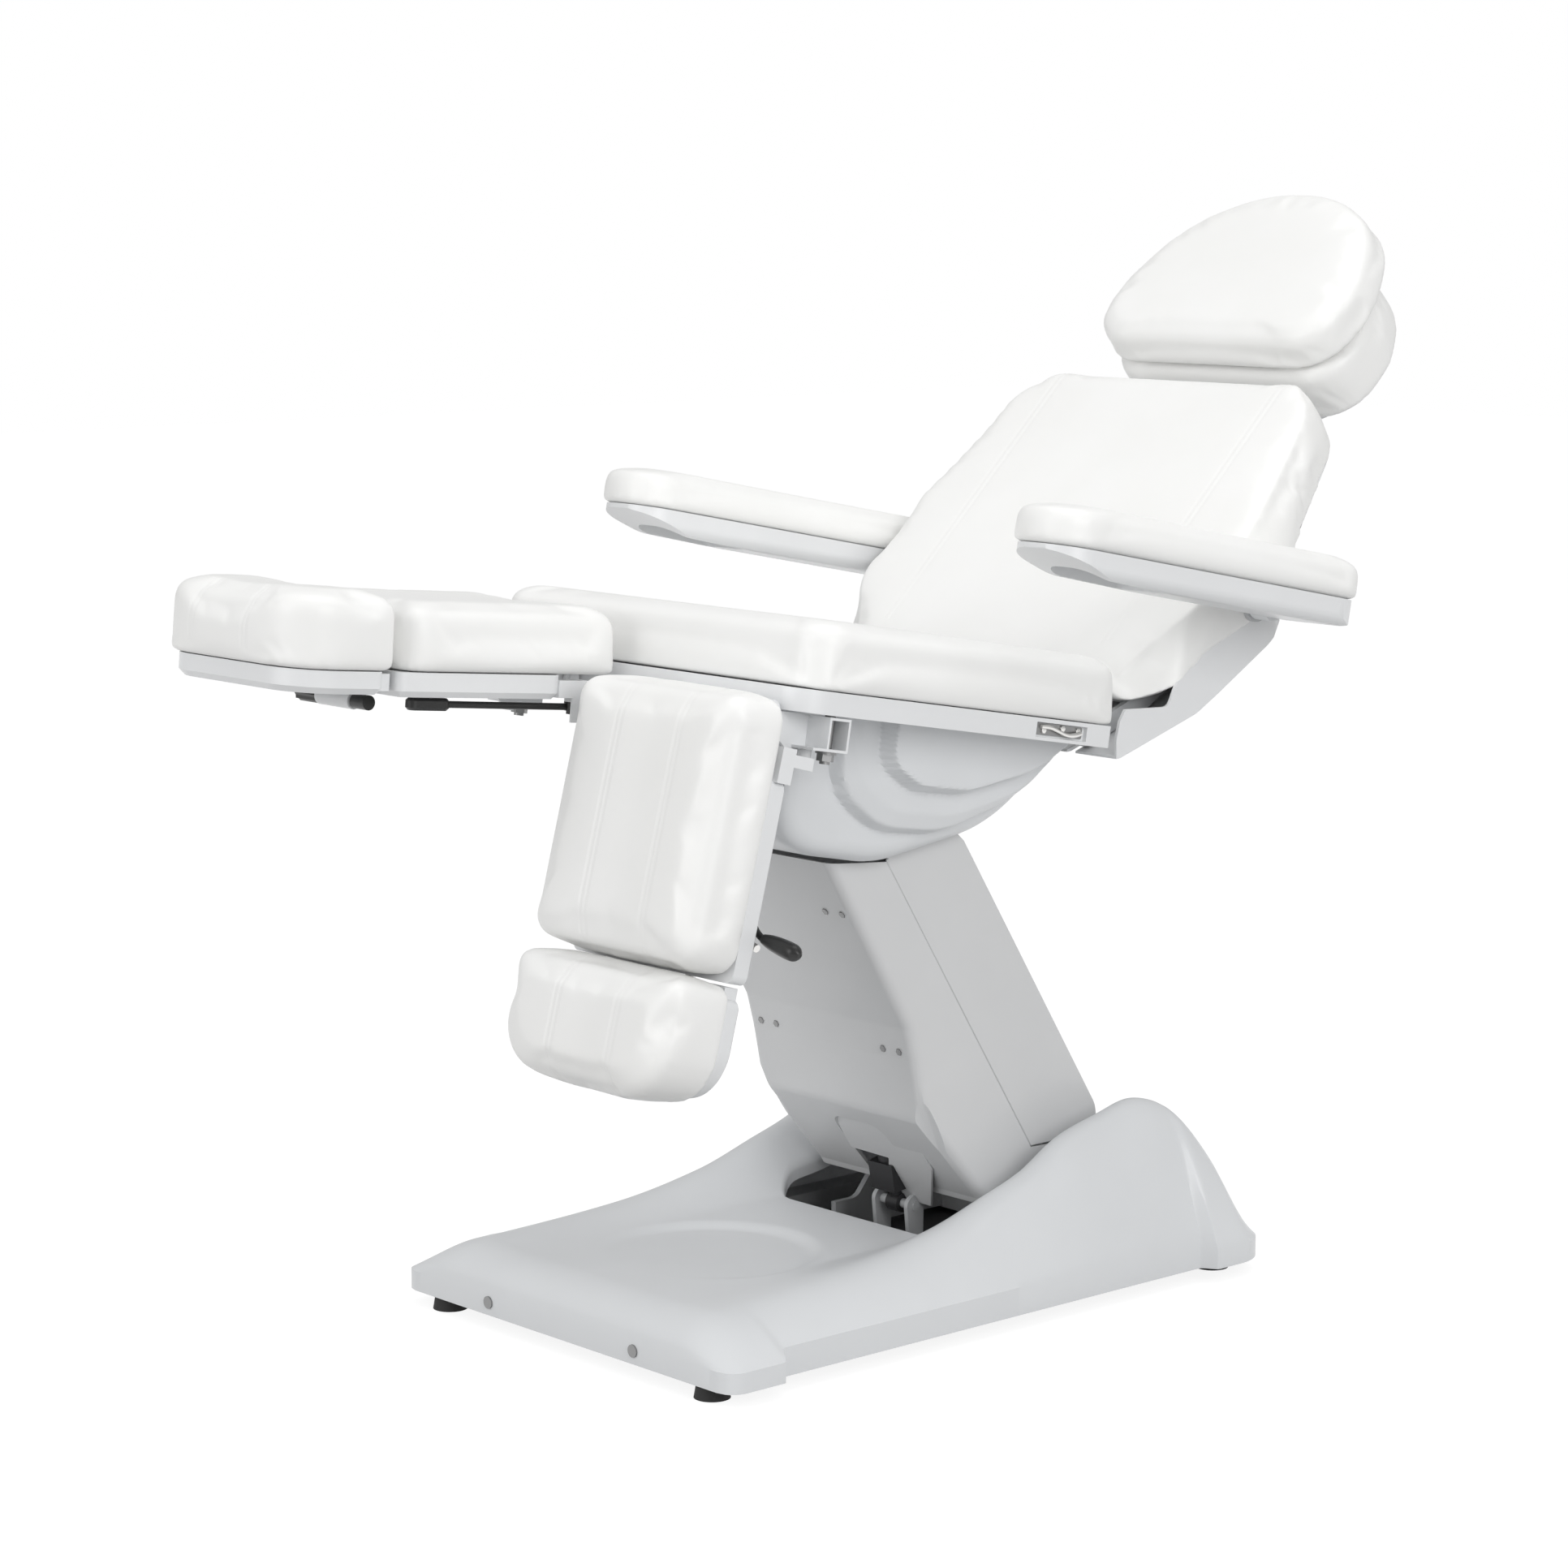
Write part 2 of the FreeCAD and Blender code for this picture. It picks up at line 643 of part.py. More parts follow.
# Electric motors: a tube with a gear case at its tail, and a rod with an eye
def motorTube(tail, head, tubeLength, radius, eye):
    along = (head - tail).normalize()
    tailEye = crossPin(tail.y, tail.z, eye, -10, 10).cut(crossPin(tail.y, tail.z, 6.05, -11, 11))
    neck = bar(tail + along * (eye - 3), tail + along * (eye + 14), 8)
    case = Part.makeBox(2 * radius + 8, 2 * radius + 8, 36, Vector(-radius - 4, -radius - 4, 0))
    case.Placement = Placement(tail + along * (eye + 10), Rotation(Vector(1, 0, 0), Vector(), along, "ZXY"))
    tube = bar(tail + along * (eye + 44), tail + along * tubeLength, radius)
    bore = bar(tail + along * (eye + 60), tail + along * (tubeLength + 1), 8.2)
    return joined([neck.cut(crossPin(tail.y, tail.z, 6.05, -11, 11)), tailEye, case, tube]).cut(bore)


def motorRod(tail, head, start, gap):
    along = (head - tail).normalize()
    return bar(tail + along * start, head - along * gap, 8.0)


liftHead = onArm(330, -4)
feature("lift_motor_tube", motorTube(liftTail, liftHead, 215, 17, 12))
feature("lift_motor_rod", motorRod(liftTail, liftHead, 140, 22))

# Seat tray: the rail round the seat, with lugs below for the pivots
tray = padBody("trayBody", "XY_Plane",
               [(-292, -256, 40), (292, -256, 40), (292, 240, 8), (-292, 240, 8)],
               "Dimensions.trayHeight", -4, Placement())
traySketch = sketchOn(tray, "XY_Plane", "trayRecess",
                      [(-276, -240, 26), (276, -240, 26), (276, 226, 6), (-276, 226, 6)], 22)
pocket = tray.newObject("PartDesign::Pocket", "trayPocket")
pocket.Profile = traySketch
pocket.setExpression("Length", "Dimensions.trayRecess")
doc.recompute()
tiltHead = Vector(0, -140, -20)
latchStart, latchEnd = 112, 196
pivotS, pivotT = inFrame(seatFrame, seatPivot.y, seatPivot.z)
hingeS, hingeT = inFrame(seatFrame, dim("backHingeY"), dim("backHingeZ"))
backMotorFoot = (200.3, 638.7)
backLugS, backLugT = inFrame(seatFrame, *backMotorFoot)


def seatTray():
    parts = [tray.Shape]
    lug = slab([(pivotS - 32, -3), (pivotS - 20, pivotT - 22, 22), (pivotS + 20, pivotT - 22, 22),
                (pivotS + 32, -3)], 108, 116)
    parts.extend(bothSides(lug.cut(crossPin(pivotS, pivotT, 10.02, 100, 120))))
    hinge = link(237, 8, 10, hingeS, hingeT, 10, 212, 220)
    parts.extend(bothSides(hinge.cut(crossPin(hingeS, hingeT, 6.0, 200, 230))))
    ear = slab([(-158, -3), (-152, -32, 12), (-128, -32, 12), (-122, -3)], 12, 18)
    parts.extend(bothSides(ear))
    parts.append(crossPin(tiltHead.y, tiltHead.z, clevisPin, -18, 18))
    lug = slab([(190, -3), (backLugS - 12, backLugT - 12, 11), (backLugS + 11, backLugT - 11, 11),
                (backLugS + 11, backLugT + 11, 10), (237, -3)], 12, 18)
    parts.extend(bothSides(lug))
    parts.append(crossPin(backLugS, backLugT, clevisPin, -18, 18))
    latch = block((286, latchStart, 0), (293, latchEnd, 17))
    swivelHole = Part.makeCylinder(6.1, 10, Vector(dim("swivelX"), dim("swivelAlong"), -8))
    for cut in bothSides(latch) + bothSides(swivelHole):
        parts[0] = parts[0].cut(cut)
    return joined(parts)


feature("seat_tray", seatTray(), seatFrame)


def seatPad():
    board = slab([(-275.5, -239.5, 26), (275.5, -239.5, 26), (275.5, 225.5, 6), (-275.5, 225.5, 6)],
                 2.3, 24, upright)
    half = dim("seatPadHalfWidth")
    cushion = slab([(-half, -266, 45), (half, -266, 45), (half, 236, 14), (-half, 236, 14)],
                   22.3, 22.3 + dim("seatPadHeight"), upright)
    top = [edge for edge in cushion.Edges if edge.BoundBox.ZMin > 90]
    return board.fuse(cushion.makeChamfer(12, top)).removeSplitter()


feature("seat_pad", seatPad(), seatFrame)

# Seat cowl: a bulging housing under the tray, with raised crescent steps on its sides
cowlTop = -4.0
cowlSteps = [
    # half width, then the side-view outline: (along the seat, height under it, corner radius)
    (185, [(-172, cowlTop), (-170, -167, 80), (0, -171, 170), (172, -116, 230), (290, cowlTop)]),
    (200, [(-108, cowlTop), (-106, -92, 80), (-30, -133, 110), (70, -131, 160), (180, -84, 200),
           (262, cowlTop)]),
    (206, [(-82, cowlTop), (-80, -76, 60), (-12, -107, 90), (80, -105, 150), (190, -66, 200),
           (262, cowlTop)]),
    (225, [(-56, cowlTop), (-54, -56, 50), (0, -82, 70), (80, -81, 120), (190, -48, 180),
           (250, cowlTop)]),
]
wedgeTaper = 9.0


def drawnIn(outline, amount):
    # The same outline, smaller by an amount at its ends and its lowest point
    front, rear = outline[0][0], outline[-1][0]
    middle = (front + rear) / 2
    depth = cowlTop - min(corner[1] for corner in outline)
    alongScale = 1 - 2 * amount / (rear - front)
    downScale = 1 - amount / depth
    return [(middle + (along - middle) * alongScale, cowlTop + (height - cowlTop) * downScale) + tuple(rest)
            for along, height, *rest in outline]


def cowlForm(inset):
    form = None
    for index, (half, outline) in enumerate(cowlSteps):
        low = drawnIn(outline, inset)
        half -= inset
        if index in (0, 2):
            piece = slab(low, -half, half)
            form = piece if form is None else form.fuse(piece)
            continue
        inner = cowlSteps[index - 1][0] - inset - 2
        wires = []
        for corners, place in ((low, inner), (drawnIn(low, wedgeTaper), half)):
            wire = wireOf(roundedRuns(corners))
            wire.Placement = Placement(Vector(place, 0, 0), toSideView)
            wires.append(wire)
        for side in bothSides(Part.makeLoft(wires, True, True)):
            form = form.fuse(side)
    return form


def seatCowl():
    outer = cowlForm(0).common(block((-400, -300, -300), (400, 232, -4)))
    inner = cowlForm(dim("cowlWall")).common(block((-400, -300, -300), (400, 260, -3)))
    slot = slab([(-156, -108, 20), (156, -108, 20), (156, 300), (-156, 300)], -260, -3, upright)
    return outer.cut(inner).cut(slot)


feature("seat_cowl", seatCowl(), seatFrame)


def latchPlates():
    plate = block((286, latchStart + 2, 2), (289, latchEnd - 2, 16))
    screws = [hexagonal(3.5, 2, Vector(289, along, 9), Vector(1, 0, 0))
              for along in (latchStart + 12, latchEnd - 12)]
    return Part.makeCompound(bothSides(joined([plate] + screws)))


feature("latch_plates", latchPlates(), seatFrame)


def seatBolts():
    bolts = []
    down = Vector(0, 0, -1)
    for x in (-dim("swivelX"), dim("swivelX")):
        shank = Part.makeCylinder(5.98, 60.4, Vector(x, dim("swivelAlong"), -58.5))
        washer = Part.makeCylinder(12, 3, Vector(x, dim("swivelAlong"), -47.2))
        nut = hexagonal(10, 8, Vector(x, dim("swivelAlong"), -47.2), down)
        bolts.append(joined([shank, washer, nut]))
    hinge = crossPin(hingeS, hingeT, 5.98, 206, 232)
    head = hexagonal(9, 5, Vector(232, hingeS, hingeT), Vector(1, 0, 0))
    bolts.extend(bothSides(hinge.fuse(head)))
    return Part.makeCompound(bolts)


feature("seat_pivot_bolts", seatBolts(), seatFrame)
tiltTailY, tiltTailZ = inFrame(seatFrame, tiltLug.y, tiltLug.z)
tiltFoot = Vector(0, tiltTailY, tiltTailZ)
feature("tilt_motor_tube", motorTube(tiltHead, tiltFoot, 108, 13, 10), seatFrame)
feature("tilt_motor_rod", motorRod(tiltHead, tiltFoot, 90, 18), seatFrame)

# Back: a hollow moulded shell behind the pad, and the steel frame inside it
def alongBack(y, z):
    return inFrame(backFrame, y, z)


def backShell():
    half = dim("shellHalfWidth")
    wall = dim("shellWall")
    lip = [alongBack(177.2, 667.5), alongBack(177, 690), alongBack(183, 712), alongBack(192, 725),
           (-60, -52, 30), (-10, -66.5), (424, -66.5, 4)]
    rim = [(420, -104, 20), (330, -112, 60), (200, -131, 90), (115, -131, 80), (61, -119, 60),
           (10, -107, 60), (-32, -96, 60), (-93, -66, 60), alongBack(184, 668)]
    outer = slab(lip + rim, -half, half)
    outer = outer.common(taperedBack(half, 0))
    inside = [(-220, 20), (420 - wall, 20), (420 - wall, -104 + wall, 16), (330, -112 + wall, 60),
              (200, -131 + wall, 90), (115, -131 + wall, 80), (61, -119 + wall, 60),
              (10, -107 + wall, 60), (-32, -96 + wall, 60), (-93, -66 + wall, 60), (-160, -29), (-220, 0)]
    inner = slab(inside, -half + wall, half - wall).common(taperedBack(half - wall, wall))
    slot = block((-34, -220, -200), (34, 118, 0))
    shell = outer.cut(inner).cut(slot)
    for hingeSlot in bothSides(crossPin(hingeAlong, hingeNormal, 26, 209, 223)):
        shell = shell.cut(hingeSlot)
    return shell


def taperedBack(half, inset):
    corners = [(-half, -240), (half, -240), (half, 200, 60), (half - 36, 380 - inset, 80),
               (half - 90, 424 - inset, 60), (-half + 90, 424 - inset, 60), (-half + 36, 380 - inset, 80),
               (-half, 200, 60)]
    return slab(corners, -220, 60, upright)


hingeAlong, hingeNormal = alongBack(dim("backHingeY"), dim("backHingeZ"))
backShellForm = backShell()
feature("back_shell", backShellForm, backFrame)
backHead = Vector(0, 150, -100)


def backSteel():
    route = [(hingeAlong, hingeNormal, 11), (-60, -62, 12), (60, -92, 13), (200, -106, 12)]
    arm = None
    for (a1, n1, r1), (a2, n2, r2) in zip(route, route[1:]):
        run = link(a1, n1, r1, a2, n2, r2, 222.5, 230.5)
        arm = run if arm is None else arm.fuse(run)
    arm = arm.cut(crossPin(hingeAlong, hingeNormal, 6.02, 200, 250))
    parts = bothSides(arm)
    for along, low, high in ((-40, -70, -61), (196, -112, -94)):
        parts.append(block((-223, along - 9, low), (223, along + 9, high)))
    lug = slab([(138, -90, 8), (138, -112, 10), (189, -112), (189, -96)], 12, 18)
    parts.extend(bothSides(lug))
    parts.append(crossPin(backHead.y, backHead.z, clevisPin, -18, 18))
    return joined(parts)


feature("back_frame", backSteel(), backFrame)


def backPad():
    side = [(-40, 0, 40), (432, 0, 22), (432, -66, 16), (60, -66, 60), (-30, -55, 40), (-82, -30, 14),
            (-92, -4, 10)]
    front = [(-300, -240), (300, -240), (300, 200, 120), (262, 385, 90), (200, 432, 40), (-200, 432, 40),
             (-262, 385, 90), (-300, 200, 120)]
    pad = slab(side, -320, 320).common(slab(front, -220, 60, upright))
    for relief in bothSides(crossPin(armAlong, armNormal, 20.5, 289, 305)):
        pad = pad.cut(relief)
    return pad


armPivotY = dim("armRestY") + 6
armPivotZ = dim("armRestZ") - 21.5
armAlong, armNormal = alongBack(armPivotY, armPivotZ)
feature("back_pad", backPad(), backFrame)


def armBrackets():
    boss = crossPin(armAlong, armNormal, 20, 290.2, 304)
    boss = boss.cut(crossPin(armAlong, armNormal, 7.0, 280, 310))
    return Part.makeCompound(bothSides(boss))


feature("arm_brackets", armBrackets(), backFrame)


def armBolts():
    bolt = crossPin(armAlong, armNormal, 6.98, 292, 316)
    return Part.makeCompound(bothSides(bolt))


feature("arm_pivot_bolts", armBolts(), backFrame)
motorFootY, motorFootZ = alongBack(*backMotorFoot)
backFoot = Vector(0, motorFootY, motorFootZ)
feature("back_motor_tube", motorTube(backHead, backFoot, 170, 14, 10), backFrame)
feature("back_motor_rod", motorRod(backHead, backFoot, 115, 24), backFrame)

# Arm rests: a boat-shaped shell under a long pad with round ends
pivotAlong, pivotBelow = inFrame(armRestFrame, armPivotY, armPivotZ)


def armShell(side):
    centre = dim("armCentre")
    half = dim("armShellHalfWidth")
    plan = [(centre - half, -522, 46), (centre + half, -522, 46), (centre + half, 42, 20),
            (centre - half, 42, 20)]
    profile = [(-522, 0), (-522, -6, 4), (-440, -30, 80), (-300, -33, 100), (40, -33, 10), (42, 0)]
    shell = slab(plan, -60, 0, upright).common(slab(profile, 200, 500))
    ends = slab([(centre - half, 5), (centre + half, 5), (centre + half, -33, 16), (centre - half, -33, 16)],
                -100, 560, toFrontView)
    shell = shell.common(ends)
    hollow = slab([(centre - half + 16, -470, 30), (centre + half - 16, -470, 30),
                   (centre + half - 16, -330, 12), (centre - half + 16, -330, 12)], -60, -18, upright)
    shell = shell.cut(hollow)
    shell = shell.fuse(crossPin(pivotAlong, pivotBelow, 17, 304.4, 330))
    shell = shell.cut(crossPin(pivotAlong, pivotBelow, 7.02, 290, 318))
    return forSide(side, shell)


def armPad(side):
    centre = dim("armCentre")
    half = dim("armPadHalfWidth")
    plan = [(centre - half, -534, 56), (centre + half, -534, 56), (centre + half, 50, 34),
            (centre - half, 50, 34)]
    pad = slab(plan, 0.3, 0.3 + dim("armPadHeight"), upright)
    top = [edge for edge in pad.Edges if edge.BoundBox.ZMin > 40]
    pad = pad.makeChamfer(12, top)
    return forSide(side, pad)


for name, side in sides.items():
    feature(name + "_arm_shell", armShell(side), armRestFrame)
    feature(name + "_arm_pad", armPad(side), armRestFrame)

# Head rest: two posts in guides behind the back, a hinged shell, a bolster and a pillow
headHingeAlong = 490.0
headHingeNormal = -150.0
postX = 70.0


def postGuides():
    guide = block((postX - 14, 340, -162), (postX + 14, 412, -110))
    guide = guide.cut(bar(Vector(postX, 330, -150), Vector(postX, 420, -150), dim("postRadius") + 0.05))
    return Part.makeCompound(bothSides(guide.cut(backShellForm)))


feature("post_guides", postGuides(), backFrame)


def headPosts():
    radius = dim("postRadius")
    post = bar(Vector(postX, 300, -150), Vector(postX, headHingeAlong, -150), radius)
    eye = crossPin(headHingeAlong, headHingeNormal, 9, postX - 7, postX + 7)
    pin = crossPin(headHingeAlong, headHingeNormal, 4.97, -postX - 10, postX + 10)
    return joined(bothSides(post.fuse(eye)) + [pin])


feature("head_posts", headPosts(), backFrame)


def headOutline(scale, bottom, top):
    # The shape of the head rest from the front, narrow at the top
    half = 196 * scale
    return [(-half * 0.86, bottom, 40), (half * 0.86, bottom, 40), (half, (bottom + top) / 2 - 20, 120),
            (half * 0.72, top - 60, 90), (half * 0.42, top, 60), (-half * 0.42, top, 60),
            (-half * 0.72, top - 60, 90), (-half, (bottom + top) / 2 - 20, 120)]


def headShell():
    plate = slab(headOutline(0.8, 484, 650), -138, -125.3, upright)
    lug = slab([(484, -130), (478, -159, 9), (502, -159, 9), (512, -130)], 40, 48)
    lug = lug.cut(crossPin(headHingeAlong, headHingeNormal, 5.02, 30, 60))
    return joined([plate] + bothSides(lug))


def headBolster():
    return slab(headOutline(0.96, 470, 704), -125, -45.3, upright)


def headPillow():
    return slab(headOutline(1.0, 487, 758), -45, 12, upright)


feature("head_shell", headShell(), backFrame)
feature("head_bolster", headBolster(), backFrame)
feature("head_pillow", headPillow(), backFrame)

# Legs: a bracket that swivels under the seat, a hinged calf rest and a sliding foot rest
hingeOnSeat = inFrame(seatFrame, dim("legHingeY"), dim("legHingeZ"))


leverSwing = {1: 16.5, -1: -4.3}
rodPlaces = (90, 208)
rodDepth = -3


def swivelBracket(side):
    along, height = hingeOnSeat
    rear, front = dim("swivelAlong") + 16, dim("swivelAlong") - 16
    box = block((256, front, -44), (292, rear, -6)).cut(block((256, front + 3, -41), (293, rear - 3, -9)))
    foot = block((256, front - 20, -44), (292, front, -41))
    cap = Part.makeCylinder(8, 9, Vector(266, front - 9, -53))
    knuckle = 9.4
    top = height + knuckle
    plate = slab([(along - knuckle, top, 9.3), (along + knuckle, top, 9.3), (along + knuckle, -6), (rear, -6),
                  (rear, -44, 4), (along + 30, -47, 8), (along + 2, height - 22, 20),
                  (along - knuckle, height - 6, 6)], 252, 256)
    lug = slab([(along - knuckle, top, 9.3), (along + knuckle, top, 9.3), (along + knuckle + 1, -8),
                (along + 44, -8, 4), (along + 44, -26, 9), (along + 24, -27, 9), (along - knuckle, height - 12, 9)], 92, 97)
    tube = crossPin(along + 33.4, height - 13, 8, 92, 252)
    axle = crossPin(along, height, 5.98, 88, 262)
    bracket = joined([box, foot, cap, plate, lug, tube, axle])
    bracket = bracket.cut(Part.makeCylinder(6.1, 80, Vector(dim("swivelX"), dim("swivelAlong"), -60)))
    return forSide(side, bracket)


def unitPlace(side, x):
    # Both leg rests are the same unit, so a piece on it keeps its distance from the unit's left edge
    return x if side > 0 else x - dim("legPitch")


def legShell(side):
    rear = -75
    plan = [(15, rear, 14), (280, rear, 14), (280, -305, 10), (15, -305, 10)]
    shell = slab(plan, -18, 9.8, upright)
    low = [edge for edge in shell.Edges if edge.BoundBox.ZMax < -17]
    shell = shell.makeChamfer(7, low)
    for x in rodPlaces:
        shell = shell.cut(bar(Vector(x, -120, rodDepth), Vector(x, -310, rodDepth), 6.05))
    parts = [shell]
    for x1, x2 in ((99, 116), (226, 250)):
        arm = slab([(9, -9, 9), (9, 9, 9), (rear - 10, 9), (rear - 10, -9)], x1, x2)
        parts.append(arm.cut(crossPin(0, 0, 6.03, x1 - 5, x2 + 5)))
    centre = (dim("knobAlong"), dim("knobDepth"))
    clamp = crossPin(centre[0], centre[1], 10, 120, 178).fuse(block((132, -295, -28), (166, -281, -15)))
    parts.append(clamp.cut(crossPin(centre[0], centre[1], 5.1, 110, 190)))
    unit = forSide(side, joined(parts))
    left = unitPlace(side, 258)
    pivot = Vector(unitPlace(side, 270), dim("leverAlong"), -21)
    seatOfLever = block((left, -80, -16), (left + 25, -40, 4)).fuse(Part.makeCylinder(9, 6, pivot))
    tab = block((left + 22, -60, -44), (left + 25, -46, -14))
    return joined([unit, seatOfLever, tab])


def softBlock(x1, x2, u1, u2, low, high, corner, edge):
    pad = slab([(x1, -u1, corner), (x2, -u1, corner), (x2, -u2, corner), (x1, -u2, corner)],
               low, high, upright)
    top = [found for found in pad.Edges if found.BoundBox.ZMin > high - 1]
    return pad.makeChamfer(edge, top)


def calfPad(side):
    inner = dim("legInner")
    outer = dim("legOuter")
    return forSide(side, softBlock(inner, outer, 3, 311, 10, 10 + dim("calfPadHeight"), 30, 10))


def legLever(side):
    # The lever swings in the plane of the calf rest, and the left one stands out past its edge
    pivot = Vector(unitPlace(side, 270), dim("leverAlong"), dim("leverDepth"))
    boss = Part.makeCylinder(9, 10, Vector(0, 0, -4.3))
    bolt = hexagonal(6, 4, Vector(0, 0, -4.3), Vector(0, 0, -1))
    shaft = bar(Vector(0, -5, 0), Vector(0, -180, 0), 4)
    grip = slab([(-9, -168, 8), (9, -168, 8), (9, -222, 8.9), (-9, -222, 8.9)], -7, 7, upright)
    grip = grip.makeChamfer(3, [edge for edge in grip.Edges if edge.BoundBox.ZLength < 0.01])
    pieces = [boss, bolt, shaft, grip]
    for piece in pieces:
        piece.Placement = Placement(pivot, Rotation(Vector(0, 0, 1), leverSwing[side])) * piece.Placement
    return joined(pieces)


def footRods(side):
    rods = [bar(Vector(x, -190, rodDepth), Vector(x, -330, rodDepth), 6) for x in rodPlaces]
    return forSide(side, Part.makeCompound(rods))


def footShell(side):
    plan = [(18, -322, 10), (278, -322, 10), (278, -470, 60), (18, -470, 60)]
    shell = slab(plan, -16, 9.8, upright)
    low = [edge for edge in shell.Edges if edge.BoundBox.ZMax < -15]
    shell = shell.makeChamfer(7, low).fuse(block((28, -324, -12), (268, -309, 7)))
    for x in rodPlaces:
        shell = shell.cut(bar(Vector(x, -300, rodDepth), Vector(x, -330, rodDepth), 6.02))
    return forSide(side, shell.removeSplitter())


def footPad(side):
    inner = dim("legInner")
    outer = dim("legOuter")
    pad = slab([(inner, -316, 22), (outer, -316, 22), (outer, -480, 66), (inner, -480, 66)],
               10, 10 + dim("footPadHeight"), upright)
    top = [edge for edge in pad.Edges if edge.BoundBox.ZMin > 96]
    return forSide(side, pad.makeChamfer(10, top))


def footKnob(side):
    # A clamp screw across the leg: a fluted grip, the screw, and a round end
    along, depth = dim("knobAlong"), dim("knobDepth")
    flutes = 8
    grip = [Vector(math.cos(turn), math.sin(turn), 0) * radius for radius, turn in
            zip([9.5, 7.8] * flutes, [math.pi * step / flutes for step in range(2 * flutes)])]
    knob = Part.Face(Part.makePolygon(grip + grip[:1])).extrude(Vector(0, 0, 42))
    knob.Placement = Placement(Vector(181, along, depth), toSideView)
    screw = crossPin(along, depth, 5, 96, 185)
    end = crossPin(along, depth, 8.5, 92, 117)
    return forSide(side, joined([knob, screw, end]))


for name, side in sides.items():
    frame = legFrames[name]
    feature(name + "_swivel_bracket", swivelBracket(side), seatFrame)
    feature(name + "_leg_shell", legShell(side), frame)
    feature(name + "_calf_pad", calfPad(side), frame)
    feature(name + "_leg_lever", legLever(side), frame)
    feature(name + "_foot_rods", footRods(side), frame)
    feature(name + "_foot_shell", footShell(side), frame)
    feature(name + "_foot_pad", footPad(side), frame)
    feature(name + "_foot_knob", footKnob(side), frame)

doc.recompute()
for item in doc.Objects:
    if "Invalid" in item.State or "Error" in item.State:
        raise RuntimeError("%s failed to build" % item.Label)
low = Vector(1e9, 1e9, 1e9)
high = Vector(-1e9, -1e9, -1e9)
for node in nodes:
    shape = node.Shape
    if shape.isNull() or not shape.isValid():
        raise RuntimeError("%s has no valid shape" % node.Label)
    box = shape.BoundBox
    low = Vector(min(low.x, box.XMin), min(low.y, box.YMin), min(low.z, box.ZMin))
    high = Vector(max(high.x, box.XMax), max(high.y, box.YMax), max(high.z, box.ZMax))
    print("%s: %d solids" % (node.Label, len(shape.Solids)))
print("whole chair from", low, "to", high)

os.makedirs("parts", exist_ok=True)
for node in nodes:
    node.Shape.exportStep("parts/%s.step" % node.Label)
print(len(nodes), "parts written")
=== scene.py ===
import json
import math

import bpy
from mathutils import Matrix, Vector


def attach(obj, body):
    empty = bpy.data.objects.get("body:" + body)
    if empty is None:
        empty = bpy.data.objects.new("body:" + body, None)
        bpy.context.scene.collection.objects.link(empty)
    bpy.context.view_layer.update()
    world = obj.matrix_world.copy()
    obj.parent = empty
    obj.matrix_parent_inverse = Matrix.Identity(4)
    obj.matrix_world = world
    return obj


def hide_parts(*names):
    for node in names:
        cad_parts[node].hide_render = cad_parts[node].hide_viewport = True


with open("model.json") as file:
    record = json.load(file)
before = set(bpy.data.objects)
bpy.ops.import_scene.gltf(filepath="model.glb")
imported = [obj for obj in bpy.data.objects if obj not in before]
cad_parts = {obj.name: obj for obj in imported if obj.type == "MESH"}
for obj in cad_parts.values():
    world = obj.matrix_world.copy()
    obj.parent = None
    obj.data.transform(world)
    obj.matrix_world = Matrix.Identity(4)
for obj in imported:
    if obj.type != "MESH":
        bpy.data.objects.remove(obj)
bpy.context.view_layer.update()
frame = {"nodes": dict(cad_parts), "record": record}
print("frame loaded")

# The chair's tilted parts: the middle of each one's own axes (y, z in mm) and its tilt in degrees
chairFrames = {
    "floor": (-30.0, 0.0, 0.0),
    "seat": (-100.0, 727.0, -10.0),
    "back": (242.0, 801.0, 43.5),
    "arm": (370.0, 856.0, -11.07),
    "leftLeg": (-366.0, 770.0, 75.0),
    "rightLeg": (-366.0, 770.0, -5.5),
    "whole": (0.0, 0.0, 0.0),
}
sideSigns = {"left": 1, "right": -1}


def frameMatrix(frameName):
    y, z, tilt = chairFrames[frameName]
    return Matrix.Translation((0, y / 1000, z / 1000)) @ Matrix.Rotation(math.radians(tilt), 4, "X")


# camera: the photograph's viewing angle
cameraView = {"x": 3554.4, "y": -3285.5, "z": 1350.0, "lookDown": 8.577, "turn": 48.30, "lens": 92.98}


def placeCamera():
    bpy.ops.object.camera_add(
        location=(cameraView["x"] / 1000, cameraView["y"] / 1000, cameraView["z"] / 1000),
        rotation=(math.radians(90 - cameraView["lookDown"]), 0, math.radians(cameraView["turn"])))
    camera = bpy.context.object
    camera.name = "photoCamera"
    camera.data.lens = cameraView["lens"]
    camera.data.sensor_width = 36
    camera.data.clip_end = 40
    bpy.context.scene.camera = camera


placeCamera()


# materials
def newMaterial(name, colour, roughness, **sockets):
    material = bpy.data.materials.new(name)
    material.use_nodes = True
    shader = material.node_tree.nodes["Principled BSDF"]
    shader.inputs["Base Color"].default_value = (*colour, 1)
    shader.inputs["Roughness"].default_value = roughness
    for socket, value in sockets.items():
        shader.inputs[socket.replace("_", " ")].default_value = value
    return material


def addBump(material, height, strength, distance):
    nodes = material.node_tree.nodes
    bump = nodes.new("ShaderNodeBump")
    bump.inputs["Strength"].default_value = strength
    bump.inputs["Distance"].default_value = distance
    material.node_tree.links.new(height, bump.inputs["Height"])
    material.node_tree.links.new(bump.outputs["Normal"], nodes["Principled BSDF"].inputs["Normal"])


